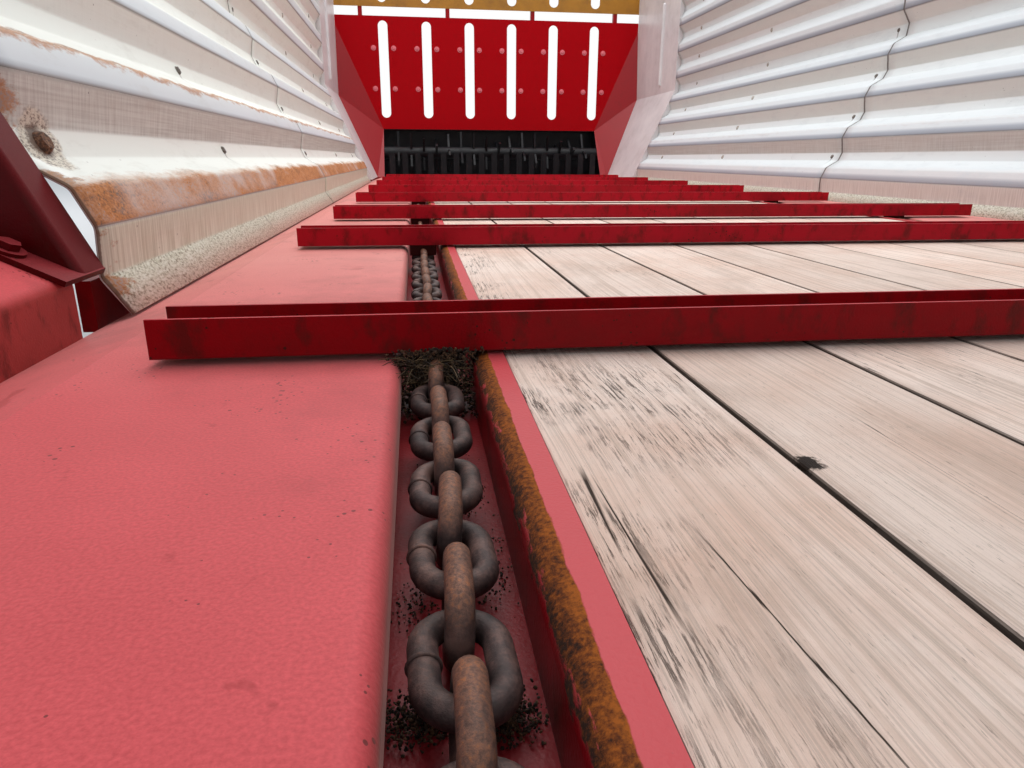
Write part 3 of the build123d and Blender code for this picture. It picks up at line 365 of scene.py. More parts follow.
def new_tree(name, numbers, counts=()):
    """A geometry tree with Points in, sizes and counts as named inputs, and a Finish."""
    tree = bpy.data.node_groups.new(name, "GeometryNodeTree")
    face = tree.interface
    face.new_socket("Points", in_out="INPUT", socket_type="NodeSocketGeometry")
    for label, value in numbers:
        face.new_socket(label, in_out="INPUT", socket_type="NodeSocketFloat").default_value = value
    for label, value in counts:
        face.new_socket(label, in_out="INPUT", socket_type="NodeSocketInt").default_value = value
    face.new_socket("Finish", in_out="INPUT", socket_type="NodeSocketMaterial")
    face.new_socket("Result", in_out="OUTPUT", socket_type="NodeSocketGeometry")
    return tree, add(tree, "NodeGroupInput").outputs


def set_on_points(tree, given, shape):
    """Ends a tree: its shape on every point, turned and sized, made real and coated."""
    turned = add(tree, "GeometryNodeInputNamedAttribute", {"Name": "turn"}, data_type="FLOAT_VECTOR")
    sized = add(tree, "GeometryNodeInputNamedAttribute", {"Name": "size"}, data_type="FLOAT")
    euler = add(tree, "FunctionNodeEulerToRotation", (turned,))
    placed = add(tree, "GeometryNodeInstanceOnPoints",
                 {"Points": given["Points"], "Instance": shape, "Rotation": euler, "Scale": sized})
    real = add(tree, "GeometryNodeRealizeInstances", (placed,))
    done = add(tree, "GeometryNodeSetMaterial", {"Geometry": real, "Material": given["Finish"]})
    add(tree, "NodeGroupOutput", {"Result": done})


def grown(name, mesh, tree, values, material):
    """Runs a tree on a mesh, keeps the result as a plain mesh and rides it on the bed."""
    seed = bpy.data.objects.new(name + "_points", mesh)
    scene.collection.objects.link(seed)
    modifier = seed.modifiers.new("grow", "NODES")
    modifier.node_group = tree
    given = {"Finish": material, **values}
    for item in tree.interface.items_tree:
        if item.in_out == "INPUT" and item.name in given:
            modifier[item.identifier] = given[item.name]
    made = bpy.data.meshes.new_from_object(seed.evaluated_get(bpy.context.evaluated_depsgraph_get()))
    bpy.data.objects.remove(seed)
    made.name = name
    made.materials.clear()
    made.materials.append(material)
    piece = bpy.data.objects.new(name, made)
    scene.collection.objects.link(piece)
    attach(piece, "bed")
    return piece


link_tree, given = new_tree("round_links", (("Pitch", LINK_PITCH), ("Width", LINK_WIDTH), ("Wire", LINK_WIRE),
                                            ("Weld Bead", 0.0009)),
                            (("Bend Steps", 6), ("Round Steps", 12), ("Bead Steps", 3)))
long = add(link_tree, "Math ADD", (given["Pitch"], given["Wire"]))
wide = add(link_tree, "Math SUBTRACT", (given["Width"], given["Wire"]))
# A hair less than half the width, so that the ends' bends don't meet
bend = add(link_tree, "Math DIVIDE", (wide, 2.001))
half = add(link_tree, "Math DIVIDE", (given["Wire"], 2.0))
outline = add(link_tree, "GeometryNodeCurvePrimitiveQuadrilateral", {"Width": wide, "Height": long})
rounded = add(link_tree, "GeometryNodeFilletCurve",
              {"Curve": outline, "Radius": bend, "Count": given["Bend Steps"]}, mode="POLY")
rod = add(link_tree, "GeometryNodeCurvePrimitiveCircle",
          {"Radius": half, "Resolution": given["Round Steps"]}, mode="RADIUS")
link = add(link_tree, "GeometryNodeCurveToMesh", {"Curve": rounded, "Profile Curve": rod})
bead = add(link_tree, "GeometryNodeCurvePrimitiveCircle",
           {"Radius": given["Weld Bead"], "Resolution": given["Bead Steps"]}, mode="RADIUS")
bead = add(link_tree, "GeometryNodeCurveToMesh", {"Curve": rod, "Profile Curve": bead})
aside = add(link_tree, "Math DIVIDE", (wide, -2.0))
aside = add(link_tree, "CombineXYZ", (aside,))
bead = add(link_tree, "GeometryNodeTransform",
           {"Geometry": bead, "Translation": aside, "Rotation": (math.pi / 2, 0, 0)})
welded = add(link_tree, "GeometryNodeJoinGeometry", (link,))
feed(link_tree, welded, (bead,))
set_on_points(link_tree, given, add(link_tree, "GeometryNodeSetShadeSmooth", {"Geometry": welded}))
held_links = {i * LINKS_PER_SLAT - (LINKS_EARLY if i >= EVEN_SLATS else 0) for i in range(SLAT_COUNT)}
dice = random.Random(4)
LOOSE = math.radians(4.5)
for side, sign in (("left", -1), ("right", 1)):
    groups = {"fine": ([], []), "plain": ([], [])}
    for i in range(SLAT_COUNT * LINKS_PER_SLAT):
        y, z, slope = chain_place(FIRST_SLAT_Y - REAR_SHAFT_Y + i * LINK_PITCH)
        lying = i % 2 == 0
        roll = dice.uniform(-LOOSE, LOOSE) - (0 if lying else math.pi / 2)
        swing = dice.uniform(-LOOSE, LOOSE) * 0.5
        near = FINE_FROM_Y < y < FINE_TO_Y and slope == 0 and side == "left"
        places, turns = groups["fine" if near else "plain"]
        places.append((sign * CHAIN_X, y, z))
        turns.append((slope, 0, 0) if i in held_links else (slope, roll, swing))
    pieces = []
    # columns: which links, steps of the bend, round the rod and round the bead
    for label, bend_steps, round_steps, bead_steps in (("fine", 9, 20, 7), ("plain", 3, 7, 3)):
        if groups[label][0]:
            name = f"{side}_round_links_{label}"
            values = {"Bend Steps": bend_steps, "Round Steps": round_steps, "Bead Steps": bead_steps}
            pieces.append(grown(name, points_mesh(name, *groups[label]), link_tree, values, link_steel))
    for piece in pieces:
        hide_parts(f"{side}_scraper_chain")

# Floor planks: rough-sawn softwood boards along the bed, weathered pale grey-pink, with raised grain, drying
# cracks and a knot hole painted black as the shade in it; the boards' sides are painted dark as the shade
# between them.
FIRST_PLANK, PLANK_WIDTH, PLANK_GAP, PLANK_FROM_X = 0.1075, 0.118, 0.004, -0.5195
LEAST_BOARD, ARRIS = 0.01, 0.0014
WOOD_PALE, WOOD_WARM, WOOD_GREY, WOOD_DARK_AND_SHADE = "#F3DFD3", "#E2C0AE", "#B5A296", "#3A2D26"
SOIL_FILM, KNOT_BROWN, HOLE_SHADE_BLACK = "#9C8474", "#6A4D3B", "#241A15"
KNOT_X, KNOT_Y, STROKES_Y = -0.4045, -2.121, -2.035
# columns: x at the near end, x at the far end, y near, y far, half width
CRACKS = (
    (-0.4705, -0.4790, -2.300, -2.165, 0.0002),
    (-0.5035, -0.5060, -2.235, -2.120, 0.0002),
    (-0.5105, -0.5090, -2.190, -2.110, 0.0004),
    (-0.4430, -0.4460, -2.090, -1.930, 0.00012),
    (-0.3520, -0.3480, -2.240, -2.060, 0.00012),
)
wood, tree, shader = finish("weathered_sawn_spruce")
where = add(tree, "TexCoord").outputs["Object"]
spot = add(tree, "SeparateXYZ", (where,))
counted = add(tree, "Math SUBTRACT", (spot.outputs["X"], FIRST_PLANK + PLANK_GAP / 2 + PLANK_FROM_X))
counted = add(tree, "Math DIVIDE", (counted, PLANK_WIDTH + PLANK_GAP))
board = add(tree, "Math FLOOR", (counted,))
chance = add(tree, "TexWhiteNoise", {"W": board}, noise_dimensions="1D")
shift = add(tree, "VectorMath MULTIPLY", (chance.outputs["Color"], (9.0, 31.0, 5.0)))
own = add(tree, "VectorMath ADD", (where, shift))
sway = add(tree, "Mapping", {"Vector": own, "Scale": (7.0, 2.2, 7.0)})
sway = add(tree, "TexNoise", {"Vector": sway, "Scale": 1.0, "Detail": 2.0})
bent = add(tree, "VectorMath MULTIPLY", (sway.outputs["Color"], (0.022, 0.0, 0.0)))
bent = add(tree, "VectorMath ADD", (own, bent))
grains = {}
# columns: what, waves a metre across, along and down, detail, roughness
for label, stretch, detail, rough in (
        ("rings", (230.0, 1.2, 40.0), 3.0, 0.55),
        ("fibre", (1200.0, 5.0, 300.0), 4.0, 0.6),
        ("fleck", (900.0, 90.0, 200.0), 4.0, 0.7),
        ("check", (640.0, 30.0, 90.0), 7.0, 0.72)):
    stretched = add(tree, "Mapping", {"Vector": bent, "Scale": stretch})
    grains[label] = add(tree, "TexNoise",
                        {"Vector": stretched, "Scale": 1.0, "Detail": detail, "Roughness": rough})
cloud = add(tree, "TexNoise", {"Vector": own, "Scale": 6.0, "Detail": 6.0, "Roughness": 0.62})
tone = add(tree, "MapRange", (cloud, 0.42, 0.7))
colour = add(tree, "Mix RGBA", (tone, WOOD_PALE, WOOD_WARM))
tint = add(tree, "MapRange", (chance.outputs["Value"], 0.0, 1.0, 0.0, 0.3))
colour = add(tree, "Mix RGBA", (tint, colour, WOOD_GREY))
# columns: which grain, from, to, how dark, colour
for label, low, high, most, shade in (
        ("rings", 0.54, 0.58, 0.34, "#BFA594"),
        ("fibre", 0.52, 0.6, 0.42, "#AF9C90"),
        ("fleck", 0.62, 0.68, 0.55, "#7B6A5E")):
    mask = add(tree, "MapRange", (grains[label], low, high, 0.0, most))
    colour = add(tree, "Mix RGBA", (mask, colour, shade))
area = add(tree, "TexNoise", {"Vector": own, "Scale": 8.0, "Detail": 3.0})
area = add(tree, "MapRange", (area, 0.56, 0.64, 0.0, 0.8))
check = add(tree, "MapRange", (grains["check"], 0.6, 0.64))
dark = add(tree, "Math MULTIPLY", (check, area))
# Soil has worked into short dark strokes beside the left rail and across the first board
beside = add(tree, "MapRange", (spot.outputs["X"], PLANK_FROM_X + 0.012, PLANK_FROM_X + 0.05, 0.75, 0.0))
across = add(tree, "MapRange", (spot.outputs["X"], KNOT_X - 0.035, KNOT_X - 0.01, 0.8, 0.0))
around = add(tree, "Math SUBTRACT", (spot.outputs["Y"], STROKES_Y))
around = add(tree, "Math ABSOLUTE", (around,))
around = add(tree, "MapRange", (around, 0.03, 0.1, 1.0, 0.0))
around = add(tree, "Math MULTIPLY", (around, across))
beside = add(tree, "Math MAXIMUM", (beside, around))
worked = add(tree, "TexNoise", {"Vector": own, "Scale": 22.0, "Detail": 3.0})
worked = add(tree, "MapRange", (worked, 0.42, 0.55))
worked = add(tree, "Math MULTIPLY", (worked, beside))
stroke = add(tree, "MapRange", (grains["check"], 0.54, 0.575))
stroke = add(tree, "Math MULTIPLY", (stroke, worked))
dark = add(tree, "Math MAXIMUM", (dark, stroke))
for near_x, far_x, near_y, far_y, half_width in CRACKS:
    along = add(tree, "MapRange", (spot.outputs["Y"], near_y, far_y, near_x, far_x))
    wiggle = add(tree, "Math MULTIPLY_ADD", (grains["rings"], 0.006, along))
    off = add(tree, "Math SUBTRACT", (spot.outputs["X"], wiggle))
    off = add(tree, "Math ADD", (off, 0.003))
    off = add(tree, "Math ABSOLUTE", (off,))
    line = add(tree, "MapRange", (off, half_width, half_width * 2.2, 1.0, 0.0))
    ends = add(tree, "Math SUBTRACT", (spot.outputs["Y"], (near_y + far_y) / 2))
    ends = add(tree, "Math ABSOLUTE", (ends,))
    length = (far_y - near_y) / 2
    ends = add(tree, "MapRange", (ends, length * 0.6, length, 1.0, 0.0))
    line = add(tree, "Math MULTIPLY", (line, ends))
    dark = add(tree, "Math MAXIMUM", (dark, line))
soil = add(tree, "Mapping", {"Vector": own, "Scale": (16.0, 5.0, 16.0)})
soil = add(tree, "TexNoise", {"Vector": soil, "Scale": 1.0, "Detail": 7.0, "Roughness": 0.68})
soil = add(tree, "MapRange", (soil, 0.54, 0.74, 0.0, 0.4))
knots = add(tree, "Mapping", {"Vector": own, "Scale": (7.0, 2.0, 0.0)})
knots = add(tree, "TexVoronoi", {"Vector": knots, "Scale": 1.0, "Randomness": 1.0})
knot = add(tree, "MapRange", (knots, 0.035, 0.075, 0.75, 0.0))
# The knot hole is painted black, as the shade inside it
hole = add(tree, "VectorMath SUBTRACT", (where, (KNOT_X, KNOT_Y, FLOOR_Z)))
hole = add(tree, "VectorMath MULTIPLY", (hole, (1.0, 0.62, 1.0)))
hole = add(tree, "VectorMath LENGTH", (hole,))
torn = add(tree, "TexNoise", {"Vector": where, "Scale": 130.0, "Detail": 5.0, "Roughness": 0.7})
hole = add(tree, "Math MULTIPLY_ADD", (torn, 0.014, hole.outputs["Value"]))
hole = add(tree, "MapRange", (hole, 0.0115, 0.0135, 1.0, 0.0))
# The boards' sides are painted dark, as the shade in the gaps between them
facing = add(tree, "SeparateXYZ", (add(tree, "NewGeometry").outputs["Normal"],))
shaded_side = add(tree, "MapRange", (facing.outputs["Z"], 0.2, 0.8, 0.85, 0.0))
for mask, shade in ((soil, SOIL_FILM), (dark, WOOD_DARK_AND_SHADE), (knot, KNOT_BROWN), (hole, HOLE_SHADE_BLACK),
                    (shaded_side, WOOD_DARK_AND_SHADE)):
    colour = add(tree, "Mix RGBA", (mask, colour, shade))
relief = add(tree, "Math MULTIPLY_ADD", (grains["rings"], 0.7, grains["fibre"]))
relief = add(tree, "Math MULTIPLY_ADD", (dark, -1.6, relief))
bump = add(tree, "Bump", {"Height": relief, "Strength": 0.7, "Distance": 0.0011})
feed(tree, shader, {"Base Color": colour, "Normal": bump, "Roughness": 0.84, "Specular IOR Level": 0.25})
plank_low, plank_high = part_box("floor_planks")
boards = bmesh.new()
board_x, board_width = plank_low.x, FIRST_PLANK
while board_x < plank_high.x - LEAST_BOARD:
    board_to = min(board_x + board_width, plank_high.x)
    centre = Vector(((board_x + board_to) / 2, (plank_low.y + plank_high.y) / 2,
                     (plank_low.z + plank_high.z) / 2))
    size = Vector((board_to - board_x, plank_high.y - plank_low.y, plank_high.z - plank_low.z))
    made = bmesh.ops.create_cube(boards, size=1.0)
    bmesh.ops.scale(boards, vec=size, verts=made["verts"])
    bmesh.ops.translate(boards, vec=centre, verts=made["verts"])
    board_x, board_width = board_to + PLANK_GAP, PLANK_WIDTH
plank_mesh = bpy.data.meshes.new("softwood_boards")
boards.to_mesh(plank_mesh)
boards.free()
planks = place("softwood_boards", plank_mesh, [wood], smooth=False)
arris = planks.modifiers.new("arris", "BEVEL")
arris.width, arris.segments = ARRIS, 2
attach(planks, "bed")
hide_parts("floor_planks")

# Ribbed side walls: trapezoidal steel sheet, rolled, galvanised and coated off-white. The facets that face up
# are painted bright and those that face down are painted greyer, as painted light and shade, and rust creeps
# over the lowest rib and from the sheet's cut rear end.
SHEET_THICK, WALL_FOOT_X, WALL_SLOPE, KNEE_HEIGHT, WALL_HEIGHT = 0.003, 0.838, 0.46, 0.550, 1.500
WAVE_PITCH, FIRST_CREASE, WAVE_DEPTH = 0.150, 0.075, 0.028
WAVE = ((0, 0), (0.038, 0), (0.078, WAVE_DEPTH), (0.109, WAVE_DEPTH))
LIP, HEM = (0.010, -0.013), (0.034, 0.022)
LIP_RISE, HEM_RISE = -0.02, 0.02
WALL_FROM_Y, SEAM_Y = REAR_END + 0.790, REAR_END + 2.550
SLOPE_COS = 1 / math.hypot(1, WALL_SLOPE)
SLOPE_SIN = WALL_SLOPE * SLOPE_COS
KNEE_RISE = KNEE_HEIGHT / SLOPE_COS
BEND, BEND_AT, FLAT_STEP, ROW_STEP, WOBBLE = 0.0035, (0, 0.33, 0.67, 1), 0.03, 0.05, 0.002
FLAT_RISE = (WAVE[2][0] + WAVE[3][0]) / 2
RUST_LINE_RISE = FIRST_CREASE + WAVE_PITCH + WAVE[1][0] + 0.025
POST_STATIONS = [REAR_END + station for station in (1.540, 2.600, 3.560, 4.450)]
END_BOLT = (FIRST_CREASE + FLAT_RISE, WALL_FROM_Y + 0.068)
STAIN_AND_SHADE_GREY, RIM_BROWN, MARK_BROWN, PLAIN_COAT = "#B9B8B1", "#5A4132", "#4F453C", "#E0DDD6"


def wall_point(rise, depth):
    """A point of the right wall: rise along it above the floor, depth outward."""
    if rise < KNEE_RISE:
        x = WALL_FOOT_X + rise * SLOPE_SIN + depth * SLOPE_COS
        return Vector((x, FLOOR_Z + rise * SLOPE_COS - depth * SLOPE_SIN))
    return Vector((WALL_FOOT_X + WALL_SLOPE * KNEE_HEIGHT + depth, FLOOR_Z + KNEE_HEIGHT + rise - KNEE_RISE))


def wall_profile():
    """The sheet's inner line as (x, z, rise), its bends rounded."""
    corners = [(Vector((WALL_FOOT_X + x, FLOOR_Z + z)), rise)
               for (x, z), rise in ((LIP, LIP_RISE), (HEM, HEM_RISE))]
    rise = FIRST_CREASE
    while rise < WALL_HEIGHT:
        corners += [(wall_point(rise + step, depth), rise + step) for step, depth in WAVE]
        rise += WAVE_PITCH
    corners = [corner for corner in corners if corner[0].y < FLOOR_Z + WALL_HEIGHT]
    line = [corners[0]]
    for (before, _), (here, rise), (after, next_rise) in zip(corners, corners[1:], corners[2:]):
        enter, leave = (before - here).normalized() * BEND, (after - here).normalized() * BEND
        for t in BEND_AT:
            line.append((here + enter * (1 - t) ** 2 + leave * t ** 2, rise + BEND * (2 * t - 1)))
        steps = max(1, round((after - here).length / FLAT_STEP))
        for i in range(1, steps):
            line.append((here.lerp(after, i / steps), rise + (next_rise - rise) * i / steps))
    line.append(corners[-1])
    return line


def coated_sheet(name, rust_amount, foot_band, facet_shading, veil_and_shade_colour, least_veil_and_shade):
    """Off-white coating; UV is (rise, y) in metres, facets the painted light and shade of one wave."""
    sheet, tree, shader = finish(name)
    where = add(tree, "TexCoord")
    flat = add(tree, "SeparateXYZ", (where.outputs["UV"],))
    rise, y = flat.outputs["X"], flat.outputs["Y"]
    wave = add(tree, "Math SUBTRACT", (rise, FIRST_CREASE))
    wave = add(tree, "Math DIVIDE", (wave, WAVE_PITCH))
    phase = add(tree, "Math FRACT", (wave,))
    noises = {}
    # columns: what, waves a metre in x, y and z, detail, roughness
    for label, scale, detail, rough in (
            ("cloud", (4.0, 3.0, 4.0), 7.0, 0.62),
            ("ragged", (26.0, 9.0, 26.0), 9.0, 0.72),
            ("fine", (340.0, 200.0, 340.0), 4.0, 0.65),
            ("brushed", (320.0, 5.0, 320.0), 3.0, 0.5),
            ("wiped", (60.0, 260.0, 14.0), 3.0, 0.5)):
        mapped = add(tree, "Mapping", {"Vector": where.outputs["Object"], "Scale": scale})
        noises[label] = add(tree, "TexNoise",
                            {"Vector": mapped, "Scale": 1.0, "Detail": detail, "Roughness": rough})
    # Painted light and shade of one wave from its inner crease: facet A bluish as painted sky light; B and
    # the flat white as lit; C greyer as painted shade; the creases dark as painted shade
    colour = add(tree, "ValToRGB", (phase,), stops=facet_shading).outputs["Color"]
    # The down-facing facet C of the lower waves is greyer in streaks: stain, and painted shade
    grey = add(tree, "MapRange", (phase, 0.715, 0.75))
    lower = add(tree, "MapRange", (wave, 0.95, 1.75, 0.85, 0.12))
    streaked = add(tree, "Math ADD", (noises["brushed"], noises["wiped"]))
    streaked = add(tree, "MapRange", (streaked, 0.75, 1.25, 0.5, 1.15))
    stain_and_shade = add(tree, "Math MULTIPLY", (add(tree, "Math MULTIPLY", (grey, lower)), streaked))
    # The strip between the hem and the lowest crease, and the lip below it
    strip = add(tree, "MapRange", (rise, FIRST_CREASE - 0.002, FIRST_CREASE, 1.0, 0.0))
    tan = add(tree, "MapRange", (noises["wiped"], 0.35, 0.65, 0.0, 1.0))
    tan = add(tree, "Mix RGBA", (tan, foot_band[0], foot_band[1]))
    lip = add(tree, "MapRange", (rise, HEM_RISE - 0.001, HEM_RISE + 0.001, 1.0, 0.0))
    mottle = add(tree, "ValToRGB", (noises["fine"],),
                 stops=((0.38, "#8B8871"), (0.47, "#CBCDB7"), (0.62, "#E4E8DA"))).outputs["Color"]
    # Rust: all over facet A of the lowest wave, in a thin line on the next one and
    # where the sheet was cut at its rear end
    edge = add(tree, "Math MULTIPLY_ADD", (noises["ragged"], 0.05, rise))
    ends = add(tree, "Math MULTIPLY_ADD", (noises["ragged"], -0.3, y))
    over = add(tree, "MapRange", (edge, FIRST_CREASE + 0.062, FIRST_CREASE + 0.078, 1.0, 0.0))
    under = add(tree, "MapRange", (rise, FIRST_CREASE, FIRST_CREASE + 0.002))
    held = add(tree, "MapRange", (noises["cloud"], 0.5, 0.62, 1.0, 0.62))
    rust = add(tree, "Math MULTIPLY", (add(tree, "Math MULTIPLY", (over, under)), held))
    line = add(tree, "Math SUBTRACT", (edge, RUST_LINE_RISE))
    line = add(tree, "Math ABSOLUTE", (line,))
    line = add(tree, "MapRange", (line, 0.002, 0.007, 0.8, 0.0))
    rust = add(tree, "Math MAXIMUM", (rust, line))
    rust = add(tree, "Math MULTIPLY", (rust, rust_amount))
    cut = add(tree, "MapRange", (ends, WALL_FROM_Y - 0.148, WALL_FROM_Y - 0.128, 0.85, 0.0))
    rust = add(tree, "Math MAXIMUM", (rust, cut))
    corrosion = add(tree, "Math ADD", (noises["ragged"], noises["fine"]))
    corrosion = add(tree, "Math MULTIPLY", (corrosion, 0.5))
    corroded = add(tree, "ValToRGB", (corrosion,), stops=(
        (0.38, "#6E5240"), (0.45, "#A76B3C"), (0.53, "#C08049"), (0.6, "#A48C84"))).outputs["Color"]
    # The end bolt sits in a brown ring with the coating flaked pale round it, and the
    # cut end has a dark brown rim
    bolt = add(tree, "VectorMath SUBTRACT", (where.outputs["UV"], (*END_BOLT, 0.0)))
    bolt = add(tree, "VectorMath LENGTH", (bolt,)).outputs["Value"]
    bolt = add(tree, "Math MULTIPLY_ADD", (noises["ragged"], 0.05, bolt))
    flakes = add(tree, "MapRange", (bolt, 0.055, 0.062, 0.85, 0.0))
    flaked = add(tree, "ValToRGB", (noises["fine"],),
                 stops=((0.42, "#6B5544"), (0.5, "#CFC4B0"), (0.62, "#DDD6C6"))).outputs["Color"]
    ring = add(tree, "MapRange", (bolt, 0.04, 0.046, 0.9, 0.0))
    rim = add(tree, "Math MULTIPLY_ADD", (noises["ragged"], -0.016, y))
    rim = add(tree, "MapRange", (rim, WALL_FROM_Y - 0.0045, WALL_FROM_Y - 0.002, 0.85, 0.0))
    ring = add(tree, "Math MAXIMUM", (ring, rim))
    # Dirt: small dark specks and the dark line of the seam
    specks = add(tree, "TexVoronoi", {"Vector": where.outputs["Object"], "Scale": 42.0, "Randomness": 1.0})
    speck = add(tree, "MapRange", (specks, 0.035, 0.06, 0.75, 0.0))
    chosen = add(tree, "MapRange", (noises["cloud"], 0.48, 0.52))
    speck = add(tree, "Math MULTIPLY", (speck, chosen))
    waver = add(tree, "Math MULTIPLY_ADD", (noises["ragged"], 0.008, y))
    seam = add(tree, "Math SUBTRACT", (waver, SEAM_Y + 0.004))
    seam = add(tree, "Math ABSOLUTE", (seam,))
    seam = add(tree, "MapRange", (seam, 0.003, 0.0055, 0.9, 0.0))
    marks = add(tree, "Math MAXIMUM", (speck, seam))
    # Dark drips run down the flat below each screw
    drip = add(tree, "MapRange", (phase, 0.36, 0.62, 0.0, 0.75))
    above = add(tree, "Math LESS_THAN", (phase, 0.625))
    drip = add(tree, "Math MULTIPLY", (drip, above))
    for station in POST_STATIONS[:2]:
        off = add(tree, "Math MULTIPLY_ADD", (noises["fine"], 0.004, y))
        off = add(tree, "Math SUBTRACT", (off, station + 0.002))
        off = add(tree, "Math ABSOLUTE", (off,))
        thin = add(tree, "MapRange", (off, 0.001, 0.005, 1.0, 0.0))
        thin = add(tree, "Math MULTIPLY", (thin, drip))
        marks = add(tree, "Math MAXIMUM", (marks, thin))
    # A faint veil of dust in clouds, over a least veil on all the sheet that is painted shade; outside,
    # behind the posts, the coating is plain, without the painted light and shade, rust and dirt of the inside
    veil_and_shade = add(tree, "MapRange", (noises["ragged"], 0.52, 0.75, least_veil_and_shade, least_veil_and_shade + 0.25))
    aim = add(tree, "SeparateXYZ", (add(tree, "NewGeometry").outputs["Normal"],))
    spot = add(tree, "SeparateXYZ", (where.outputs["Object"],))
    outer = add(tree, "Math MULTIPLY", (spot.outputs["X"], aim.outputs["X"]))
    outer = add(tree, "MapRange", (outer, 0.0, 0.1, 0.0, 0.85))
    for mask, shade in ((stain_and_shade, STAIN_AND_SHADE_GREY), (strip, tan), (lip, mottle), (rust, corroded),
                        (flakes, flaked), (ring, RIM_BROWN), (marks, MARK_BROWN), (veil_and_shade, veil_and_shade_colour),
                        (outer, PLAIN_COAT)):
        colour = add(tree, "Mix RGBA", (mask, colour, shade))
    rough = add(tree, "MapRange", (rust, 0.0, 1.0, 0.42, 0.85))
    height = add(tree, "Math MULTIPLY_ADD", (rust, noises["fine"], noises["brushed"]))
    bump = add(tree, "Bump", {"Height": height, "Strength": 0.2, "Distance": 0.0007})
    feed(tree, shader, {"Base Color": colour, "Roughness": rough, "Normal": bump})
    return sheet


def ribbed_sheet(name, sign, y0, y1, material):
    """One wall sheet: the profile carried along Y, with the slight waves of thin steel."""
    profile = wall_profile()
    rows = round((y1 - y0) / ROW_STEP)
    grid = bmesh.new()
    uv = grid.loops.layers.uv.new("wall")
    verts = []
    for j in range(rows + 1):
        y = y0 + (y1 - y0) * j / rows
        row = []
        for spot, rise in profile:
            wobble = abs(noise.noise(Vector((rise * 5, y * 3.1, sign * 7)))) * WOBBLE
            row.append(grid.verts.new((sign * (spot.x + wobble), y, spot.y)))
        verts.append(row)
    for j in range(rows):
        for i in range(len(profile) - 1):
            corners = [verts[j][i], verts[j + 1][i], verts[j + 1][i + 1], verts[j][i + 1]]
            if sign < 0:
                corners.reverse()
            face = grid.faces.new(corners)
            for loop in face.loops:
                at_i = i if loop.vert in (verts[j][i], verts[j + 1][i]) else i + 1
                loop[uv].uv = (profile[at_i][1], loop.vert.co.y)
    mesh = bpy.data.meshes.new(name)
    grid.to_mesh(mesh)
    grid.free()
    piece = place(name, mesh, [material])
    wall = piece.modifiers.new("gauge", "SOLIDIFY")
    wall.thickness, wall.offset = SHEET_THICK, -1
    return piece


# Painted light and shade of one wave from its inner crease outward, its creases dark; columns: where on the
# wave, shade
LEFT_FACET_SHADING = ((0.0, "#77706A"), (0.025, "#AFB5BB"), (0.065, "#D2DADF"), (0.235, "#DCE2E4"),
               (0.275, "#EFF2EB"), (0.7, "#F1F4ED"), (0.745, "#F0F4EE"), (0.975, "#E9EFE6"),
               (1.0, "#77706A"))
RIGHT_FACET_SHADING = ((0.0, "#6A686A"), (0.02, "#8A919C"), (0.085, "#A4ADB8"), (0.15, "#DCE3E7"),
                (0.7, "#E4E9E9"), (0.745, "#DDE2DE"), (0.975, "#D6DCD7"), (1.0, "#6A686A"))
# The right wall is veiled bluish grey all over, as painted shade
wall_coats = {"left": coated_sheet("off_white_coated_sheet_rusted", 1.0, ("#BFC4AC", "#E0E6D2"),
                                   LEFT_FACET_SHADING, "#A8A093", 0.0),
              "right": coated_sheet("off_white_coated_sheet", 0.12, ("#CBCCC3", "#E0E2DA"), RIGHT_FACET_SHADING,
                                    "#A9AFB5", 0.1)}
for side, sign in (("left", -1), ("right", 1)):
    for end in ("rear", "front"):
        node = f"{side}_wall_sheet_{end}"
        low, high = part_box(node)
        sheet = ribbed_sheet(f"{side}_ribbed_sheet_{end}", sign, low.y, high.y, wall_coats[side])
        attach(sheet, "bed")
        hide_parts(node)

# Smooth side panels ahead of the ribbed sheets: plain coated sheet, pale grey-pink, and
# slightly clouded where the crop has rubbed it.


def clouded(name, waves, detail, ragged, stops, grain=None, **settings):
    """A finish whose colour clouds, so many waves a metre; fine grain and shader settings."""
    material, tree, shader = finish(name)
    where = add(tree, "TexCoord").outputs["Object"]
    cloud = add(tree, "TexNoise", {"Vector": where, "Scale": waves, "Detail": detail, "Roughness": ragged})
    colour = add(tree, "ValToRGB", (cloud,), stops=stops).outputs["Color"]
    if grain:
        # The rolled sheet's fine grain, drawn coarser than it is so that it shows
        fine = add(tree, "TexNoise", {"Vector": where, "Scale": grain, "Detail": 3.0})
        bump = add(tree, "Bump", {"Height": fine, "Strength": 0.12, "Distance": 0.0005})
        feed(tree, shader, {"Normal": bump})
    feed(tree, shader, {"Base Color": colour, **settings})
    return material


panel_coat = clouded("grey_coated_smooth_steel", 6.0, 7.0, 0.65,
                     ((0.38, "#DEDADA"), (0.55, "#D4D0D1"), (0.7, "#C6C1C0")), grain=300.0, Roughness=0.35)
coat(panel_coat, *sides("smooth_side_panel"))

# Tailgate sheet and cheeks: the same off-white coated steel as the walls, but smooth, with
# a faint brown veil of dried juice.
gate_coat = clouded("off_white_coated_smooth_steel", 5.0, 8.0, 0.68,
                    ((0.4, "#E4E1DA"), (0.6, "#DAD5CC"), (0.75, "#BFB5A4")), grain=260.0, Roughness=0.45)
coat(gate_coat, "tailgate_sheet", *sides("tailgate_cheek"))

# Upper front wall: yellow-brown enamelled sheet with the same upright slots, satin and
# a little darker in clouds.
yellow = clouded("ochre_yellow_enamel", 9.0, 7.0, 0.65,
                 ((0.35, "#A8720E"), (0.55, "#9C690D"), (0.75, "#86590F")), Roughness=0.4)
coat(yellow, "upper_front_wall")

